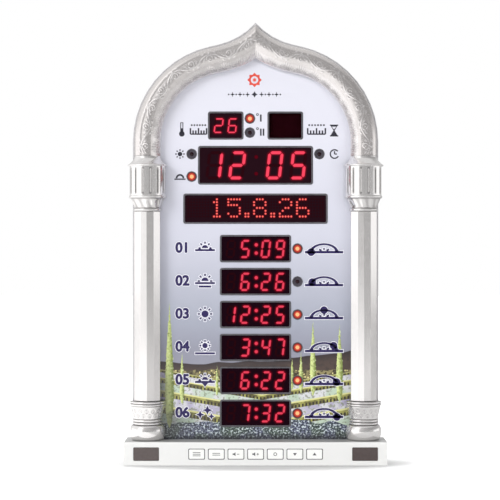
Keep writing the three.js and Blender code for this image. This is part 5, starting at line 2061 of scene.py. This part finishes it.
def dial_icon():
    """A small clock: an open ring and two hands."""
    hands = [[stroke_points(0, 0, 0, 3.8, 1.7)], [stroke_points(0, 0, 3.2, 0, 1.7)]]
    return [[arc_band(0, 0, 5.8, ICON_STROKE, 40, 330)]] + hands


def degree_icon(bars):
    """A small ring, with as many upright bars right of it."""
    shapes = [[ring_points(-1.6, 5.4, 1.8), ring_points(-1.6, 5.4, 0.8)]]
    for index in range(bars):
        place = 3.0 + index * 3.6
        shapes.append([stroke_points(place, -4.2, place, 5.4, 2.2)])
    return shapes


def small_labels():
    """The marks round the upper windows: a thermometer, an hourglass, scales, signs and a dial."""
    shapes = placed(thermometer_icon(), *face_spot(THERMOMETER_SPOT))
    shapes += placed(scale_icon(22, 7), *face_spot(LEFT_SCALE_SPOT))
    shapes += placed(hourglass_icon(), *face_spot(HOURGLASS_SPOT))
    shapes += placed(scale_icon(24, 7), *face_spot(RIGHT_SCALE_SPOT))
    evening = [[arc_band(0, -2.4, 4.6, 2.4, 0, 180)], flat_stroke(7.6, SCALE_FOOT)]
    for icon, column, lamp in (
        (sun_icon(3.1, stroke=1.7), SIGN_COLUMN, "am"),
        (evening, SIGN_COLUMN, "pm"),
        (dial_icon(), DIAL_COLUMN, "summer_time"),
        (degree_icon(1), DEGREE_COLUMN, "celsius"),
        (degree_icon(2), DEGREE_COLUMN, "fahrenheit"),
    ):
        shapes += placed(icon, face_x(column), lamp_place(lamp)[1])
    print_shapes("small_marks", shapes, layer(1), ink_dark)


# A star's radius at its points and between them, and the string's spacing out from its middle
BIG_STAR = (10.0, 7.4)
STAR_HOLE = 5.0
STAR_HEART = (3.6, 1.6)
MIDDLE_STAR = (4.2, 2.2)
SMALL_STAR = (3.3, 1.3)
STRING_START = 9.5
STRING_STEP = 10.2
STRING_BEAD = 1.1
BEAD_ASIDE = 5.2
PIN_HALF = 3.0
PIN_STROKE = 0.9


def top_ornament():
    """A plain eight-pointed star over a string of small stars and beads."""
    x, z = face_spot(STAR_SPOT)
    star = [star_points(x, z, *BIG_STAR, 8), ring_points(x, z, STAR_HOLE)]
    print_shapes("top_star", [star, [star_points(x, z, *STAR_HEART, 8)]], layer(1), ink_red)
    z = face_z(DIVIDER_ROW)
    shapes = [[star_points(x, z, *MIDDLE_STAR, 4, 0)]]
    for way in (-1, 1):
        for index in range(3):
            place = x + way * (STRING_START + index * STRING_STEP)
            shapes.append([star_points(place, z, *SMALL_STAR, 2, 0)])
            shapes.append([ring_points(place + way * BEAD_ASIDE, z, STRING_BEAD, 14)])
            shapes.append([stroke_points(place, z - PIN_HALF, place, z + PIN_HALF, PIN_STROKE)])
    print_shapes("top_divider", shapes, layer(1), ink_dark)


# Marks on the keys, in millimetres from a key's middle
MARK_LINES = {"mode": [2.2, 0.0, -2.2], "alarm": [1.2, -1.2]}
MARK_HALF = 5.2
MARK_STROKE = 0.9
SIGN_STROKE = 0.8
SIGN_HALF = 1.5
SIGN_X = 2.9
RING_RADII = (2.4, 1.5)
WEDGE = [(-2.6, -1.6), (2.6, -1.6), (0, 2.2)]
HORN = [(-4.4, -1), (-4.4, 1), (-2.6, 1), (-0.6, 2.6), (-0.6, -2.6), (-2.6, -1)]


def key_mark(kind, x, z):
    """A small plain mark: lines, a horn with a minus or a plus, a ring or a wedge."""
    if kind in MARK_LINES:
        heights = [z + lift for lift in MARK_LINES[kind]]
        return [[stroke_points(x - MARK_HALF, h, x + MARK_HALF, h, MARK_STROKE)] for h in heights]
    if kind == "set":
        return [[ring_points(x, z, radius) for radius in RING_RADII]]
    if kind in ("up", "down"):
        way = 1 if kind == "up" else -1
        return [[[(x + px, z + way * pz) for px, pz in WEDGE]]]
    shapes = [[HORN], [stroke_points(SIGN_X - SIGN_HALF, 0, SIGN_X + SIGN_HALF, 0, SIGN_STROKE)]]
    if kind == "volume_up":
        shapes.append([stroke_points(SIGN_X, -SIGN_HALF, SIGN_X, SIGN_HALF, SIGN_STROKE)])
    return placed(shapes, x, z)


def key_marks():
    """The mark on each key."""
    front = KEY_FRONT - PRINT_THICKNESS
    for kind in KEY_KINDS:
        shapes = key_mark(kind, *node_middle(f"key_{kind}"))
        print_shapes(f"key_{kind}_mark", shapes, front, key_outline, f"{kind}_key")


def rounded_box(x, z, half_width, half_height, radius):
    """A box with rounded corners, as a closed line."""
    points = []
    for corner, (side, up) in enumerate(((1, 1), (-1, 1), (-1, -1), (1, -1))):
        middle_x, middle_z = x + side * (half_width - radius), z + up * (half_height - radius)
        for step in range(5):
            turn = math.pi / 2 * (corner + step / 4)
            points.append((middle_x + radius * math.cos(turn), middle_z + radius * math.sin(turn)))
    return points


# Half the width, half the height and the corner radius of the line round a key, outside and inside
LINE_OUTSIDE = (11.2, 7.3, 1.6)
LINE_INSIDE = (10.1, 6.2, 1.0)


def key_frames():
    """Thin grey lines printed round the keys on the base."""
    shapes = []
    for kind in KEY_KINDS:
        spot = node_middle(f"key_{kind}")
        shapes.append([rounded_box(*spot, *LINE_OUTSIDE), rounded_box(*spot, *LINE_INSIDE)])
    print_shapes("key_lines", shapes, BASE_FRONT - PRINT_THICKNESS, key_outline)


# What the rear cover carries

MAGNET_RADIUS = 14.0
MAGNET_DEPTH = 6.0
BASKET_RADIUS = 22.0
BASKET_DEPTH = 6.6
FLANGE_RADIUS = 25.0
FLANGE_DEPTH = 1.4
SURROUND_RADIUS = 22.6
SURROUND_INNER = 20.6

# The speaker's face from its surround inwards: how far in each step goes, and how far down
CONE_STEPS = [(0.6, 0.7), (1.2, -0.7), (1.2, 0.7), (8.5, 3.6), (0.8, -1.2), (2.4, -1.0)]


def speaker():
    """A small loudspeaker: ribbed surround, cone and dust cap behind the grille."""
    low = node_box("speaker")[0]
    rings = Rings(MAGNET_RADIUS).to(MAGNET_RADIUS, MAGNET_DEPTH)
    rings.cove(MAGNET_RADIUS, BASKET_RADIUS, BASKET_DEPTH, 12)
    rings.to(FLANGE_RADIUS).to(FLANGE_RADIUS, FLANGE_DEPTH)
    rings.to(SURROUND_RADIUS).bead(SURROUND_RADIUS, SURROUND_INNER, 0.0, 2)
    piece = turned(rings.rings, 64)
    open_mesh(piece)
    pick(piece, "faces", lambda face: faces_up(face) and face.calc_center_median().z > 13 * MM)
    for step, drop in CONE_STEPS:
        inset(step)
        bpy.ops.transform.translate(value=(0, 0, -drop * MM))
    close_mesh()
    place = Matrix.Translation(at(0, low.y, node_middle("speaker")[1]))
    piece.data.transform(place @ UPRIGHT.inverted())
    dress(piece, "speaker_cone", speaker_black, stands_for=["speaker"], smooth=40)


THREAD_RADIUS = 1.35
THREAD_ROOT = 1.0
THREAD_HALF_PITCH = 0.45
THREAD_TURNS = 11
HEAD_RADIUS = 3.0
HEAD_RIM_RISE = 0.5
HEAD_SHOULDER = (2.7, 0.45)
HEAD_TOP = (1.9, 0.25)
CROSS_LENGTH = 3.4
CROSS_WIDTH = 0.7
CROSS_DEPTH = 1.4
SCREW_COUNT = 6


def cover_screws():
    """Pan-head screws with a cross recess."""
    low, high = node_box("cover_screw_1")
    head_rise = HEAD_RIM_RISE + HEAD_SHOULDER[1] + HEAD_TOP[1]
    rings = Rings(THREAD_RADIUS)
    for _ in range(THREAD_TURNS):
        rings.to(THREAD_ROOT, THREAD_HALF_PITCH).to(THREAD_RADIUS, THREAD_HALF_PITCH)
    rings.to(THREAD_RADIUS, high.y - low.y - head_rise - rings.height)
    rings.to(HEAD_RADIUS).to(HEAD_RADIUS, HEAD_RIM_RISE).to(*HEAD_SHOULDER, 2).to(*HEAD_TOP)
    model = facing_front(turned(rings.rings, 28), 0, 0, 0)
    model.data.transform(Matrix.Rotation(math.pi, 4, "Z"))
    level = box_piece(CROSS_LENGTH, CROSS_DEPTH, CROSS_WIDTH, 0, rings.height, 0)
    upright = box_piece(CROSS_WIDTH, CROSS_DEPTH, CROSS_LENGTH, 0, rings.height, 0)
    cross = joined([level, upright])
    modify(cross, "REMESH", mode="SHARP", octree_depth=5)
    subtract(model, cross)
    for number in range(1, SCREW_COUNT + 1):
        node = f"cover_screw_{number}"
        x, z = node_middle(node)
        screw = copy_of(model, (x, node_box(node)[0].y, z))
        dress(screw, f"screw_{number}", steel, stands_for=[node], smooth=35)
    bpy.data.objects.remove(model)


CELL_RADIUS = 10.0
CELL_LIP = 0.7
CELL_GROOVE = 0.3
CELL_GROOVE_DEPTH = 0.25
CELL_ROUND = 0.12


def backup_cell():
    """A button cell with a rolled edge and a groove round its lid."""
    low, high = node_box("backup_cell")
    piece = rod(CELL_RADIUS, low.y, high.y, 0, node_middle("backup_cell")[1], 64)
    open_mesh(piece)
    pick(piece, "faces", faces_back)
    inset(CELL_LIP)
    extrude(y=-CELL_GROOVE_DEPTH)
    inset(CELL_GROOVE)
    extrude(y=CELL_GROOVE_DEPTH)
    close_mesh()
    round_edges(piece, lambda x, y, z: y > high.y - NEAR, CELL_ROUND, 2)
    dress(piece, "cell_case", steel, stands_for=["backup_cell"], smooth=35)


# Nodes whose own shape is right


def carried_nodes():
    """Gives every other node its finish."""
    finishes = {
        "front_panel": printed_face,
        "main_board": board_green,
        "key_board": board_green,
        "cell_holder": jack_black,
        "power_inlet": jack_black,
        "message_matrix": module_black,
        "message_filter": red_smoke,
        "rows_filter": deep_smoke,
    }
    for name in ("temperature", "countdown", "time"):
        finishes[f"{name}_digits"] = module_black
        finishes[f"{name}_filter"] = red_smoke
    for row in ROWS:
        finishes[f"{row}_digits"] = module_black
    for name, finish in finishes.items():
        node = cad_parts[name]
        node.data.materials.clear()
        node.data.materials.append(finish)


# The stage


# The shadow close to the base: where it ends across the clock, in metres, and how flat it lies
CONTACT_START = 0.05
CONTACT_END = 0.11
CONTACT_SQUASH = 0.36
FLOOR_SIZE = 16
FLOOR_DROP = 0.0002


def floor():
    """A floor that shows white but for the shadow at the base, and mirrors pale on the left."""
    bpy.ops.mesh.primitive_plane_add(size=FLOOR_SIZE, location=(0, 0, -FLOOR_DROP))
    piece = bpy.context.object
    piece.name = "studio_floor"
    made, tree, shader, place = start_material("studio_floor", 0.9)
    shader.inputs["Base Color"].default_value = (0.64, 0.64, 0.64, 1)
    shader.inputs["Emission Color"].default_value = WHITE
    split = node_in(tree, "ShaderNodeSeparateXYZ", {0: place})
    squashed = maths(tree, "MULTIPLY", split.outputs["X"], CONTACT_SQUASH)
    near = node_in(tree, "ShaderNodeCombineXYZ", {"X": squashed, "Y": split.outputs["Y"]})
    length = node_in(tree, "ShaderNodeVectorMath", {0: near.outputs[0]}, operation="LENGTH")
    open_floor = spread(tree, length.outputs["Value"], CONTACT_START, CONTACT_END, 0.0, 0.8)
    path = tree.nodes.new("ShaderNodeLightPath")
    share = maths(tree, "MULTIPLY", path.outputs["Is Camera Ray"], open_floor)
    lit_side = spread(tree, split.outputs["X"], 0.02, -0.08, 0.0, 0.5)
    mirrored = maths(tree, "MULTIPLY", path.outputs["Is Glossy Ray"], lit_side)
    share = maths(tree, "ADD", share, mirrored)
    tree.links.new(share, shader.inputs["Emission Strength"])
    piece.data.materials.append(made)


# How bright the room is round the clock, by azimuth in degrees from the camera, right is positive
ROOM_AT_EYE_LEVEL = [
    (-180, 0.7),
    (-128, 0.9),
    (-112, 1.5),
    (-60, 1.5),
    (-42, 1.5),
    (-35, 1.3),
    (-26, 0.4),
    (0, 0.32),
    (26, 0.35),
    (58, 0.42),
    (72, 1.25),
    (111, 1.4),
    (128, 0.65),
    (180, 0.55),
]
ROOM_RAISED = [
    (-180, 0.65),
    (-150, 0.7),
    (-125, 0.95),
    (-75, 0.95),
    (-55, 1.45),
    (-38, 1.4),
    (-22, 0.5),
    (5, 0.36),
    (35, 0.25),
    (60, 0.25),
    (125, 0.4),
    (160, 0.7),
    (180, 0.85),
]
ROOM_OVERHEAD = 0.72


def room_ring(tree, turn, steps):
    """The room's brightness along one ring of directions."""
    stops = [((azimuth + 180) / 360, (light, light, light, 1)) for azimuth, light in steps]
    return ramp(tree, turn, stops)


def studio_light():
    """A room of light: bright at both sides, dimmer round the camera and high up on the right."""
    world = bpy.data.worlds.new("studio")
    bpy.context.scene.world = world
    world.use_nodes = True
    tree = world.node_tree
    back = tree.nodes["Background"]
    direction = tree.nodes.new("ShaderNodeTexCoord").outputs["Generated"]
    split = node_in(tree, "ShaderNodeSeparateXYZ", {0: direction})
    away = maths(tree, "MULTIPLY", split.outputs["Y"], -1.0)
    angle = maths(tree, "ARCTAN2", split.outputs["X"], away)
    turn = spread(tree, angle, -math.pi, math.pi, smooth=False)
    level = room_ring(tree, turn, ROOM_AT_EYE_LEVEL)
    raised = room_ring(tree, turn, ROOM_RAISED)
    tone = blend_colours(tree, spread(tree, split.outputs["Z"], 0.08, 0.32), level, raised)
    above = spread(tree, split.outputs["Z"], 0.65, 0.9)
    overhead = (ROOM_OVERHEAD, ROOM_OVERHEAD, ROOM_OVERHEAD, 1)
    tone = blend_colours(tree, above, tone, overhead)
    path = tree.nodes.new("ShaderNodeLightPath")
    seen = blend_colours(tree, path.outputs["Is Camera Ray"], tone, WHITE)
    tree.links.new(seen, back.inputs["Color"])


def soft_box(name, place, target, size, power):
    """A soft light that aims at a target and shows in no mirror image."""
    data = bpy.data.lights.new(name, "AREA")
    data.shape = "RECTANGLE"
    data.size, data.size_y = size
    data.energy = power
    box = add_object(name, data)
    box.location = place
    box.rotation_euler = (Vector(target) - Vector(place)).to_track_quat("-Z", "Y").to_euler()
    box.visible_glossy = False


CAMERA_PLACE = (-0.0075, -2.1957, 0.2892)
CAMERA_LENS = 116.5
SENSOR_WIDTH = 36.0


def camera():
    """A level camera in front of the clock."""
    data = bpy.data.cameras.new("camera")
    data.lens = CAMERA_LENS
    data.sensor_width = SENSOR_WIDTH
    eye = add_object("camera", data)
    eye.location = CAMERA_PLACE
    eye.rotation_euler = (math.pi / 2, 0, 0)
    bpy.context.scene.camera = eye


camera()
bpy.context.scene.view_settings.view_transform = "Standard"
studio_light()
floor()
soft_box("front_fill", (0.3, -2.6, 0.9), (0, 0, 0.3), (2.4, 1.6), 11.4)
soft_box("right_fill", (1.5, -1.3, 0.3), (0.1, 0, 0.1), (0.8, 0.6), 8)
soft_box("key_box", (-1.8, -1.6, 1.4), (0, 0, 0.3), (0.9, 0.9), 32)
soft_box("top_box", (-0.1, 0.3, 1.7), (0, 0.02, 0.2), (1.2, 0.5), 11)

arch_moulding()
columns()
front_frame()
base_housing()
rear_cover()
battery_door()
keys()
sensor_windows()
display_mask()
lamps()
seven_segment_displays()
message_matrix()
row_labels()
small_labels()
top_ornament()
key_marks()
key_frames()
speaker()
cover_screws()
backup_cell()
carried_nodes()
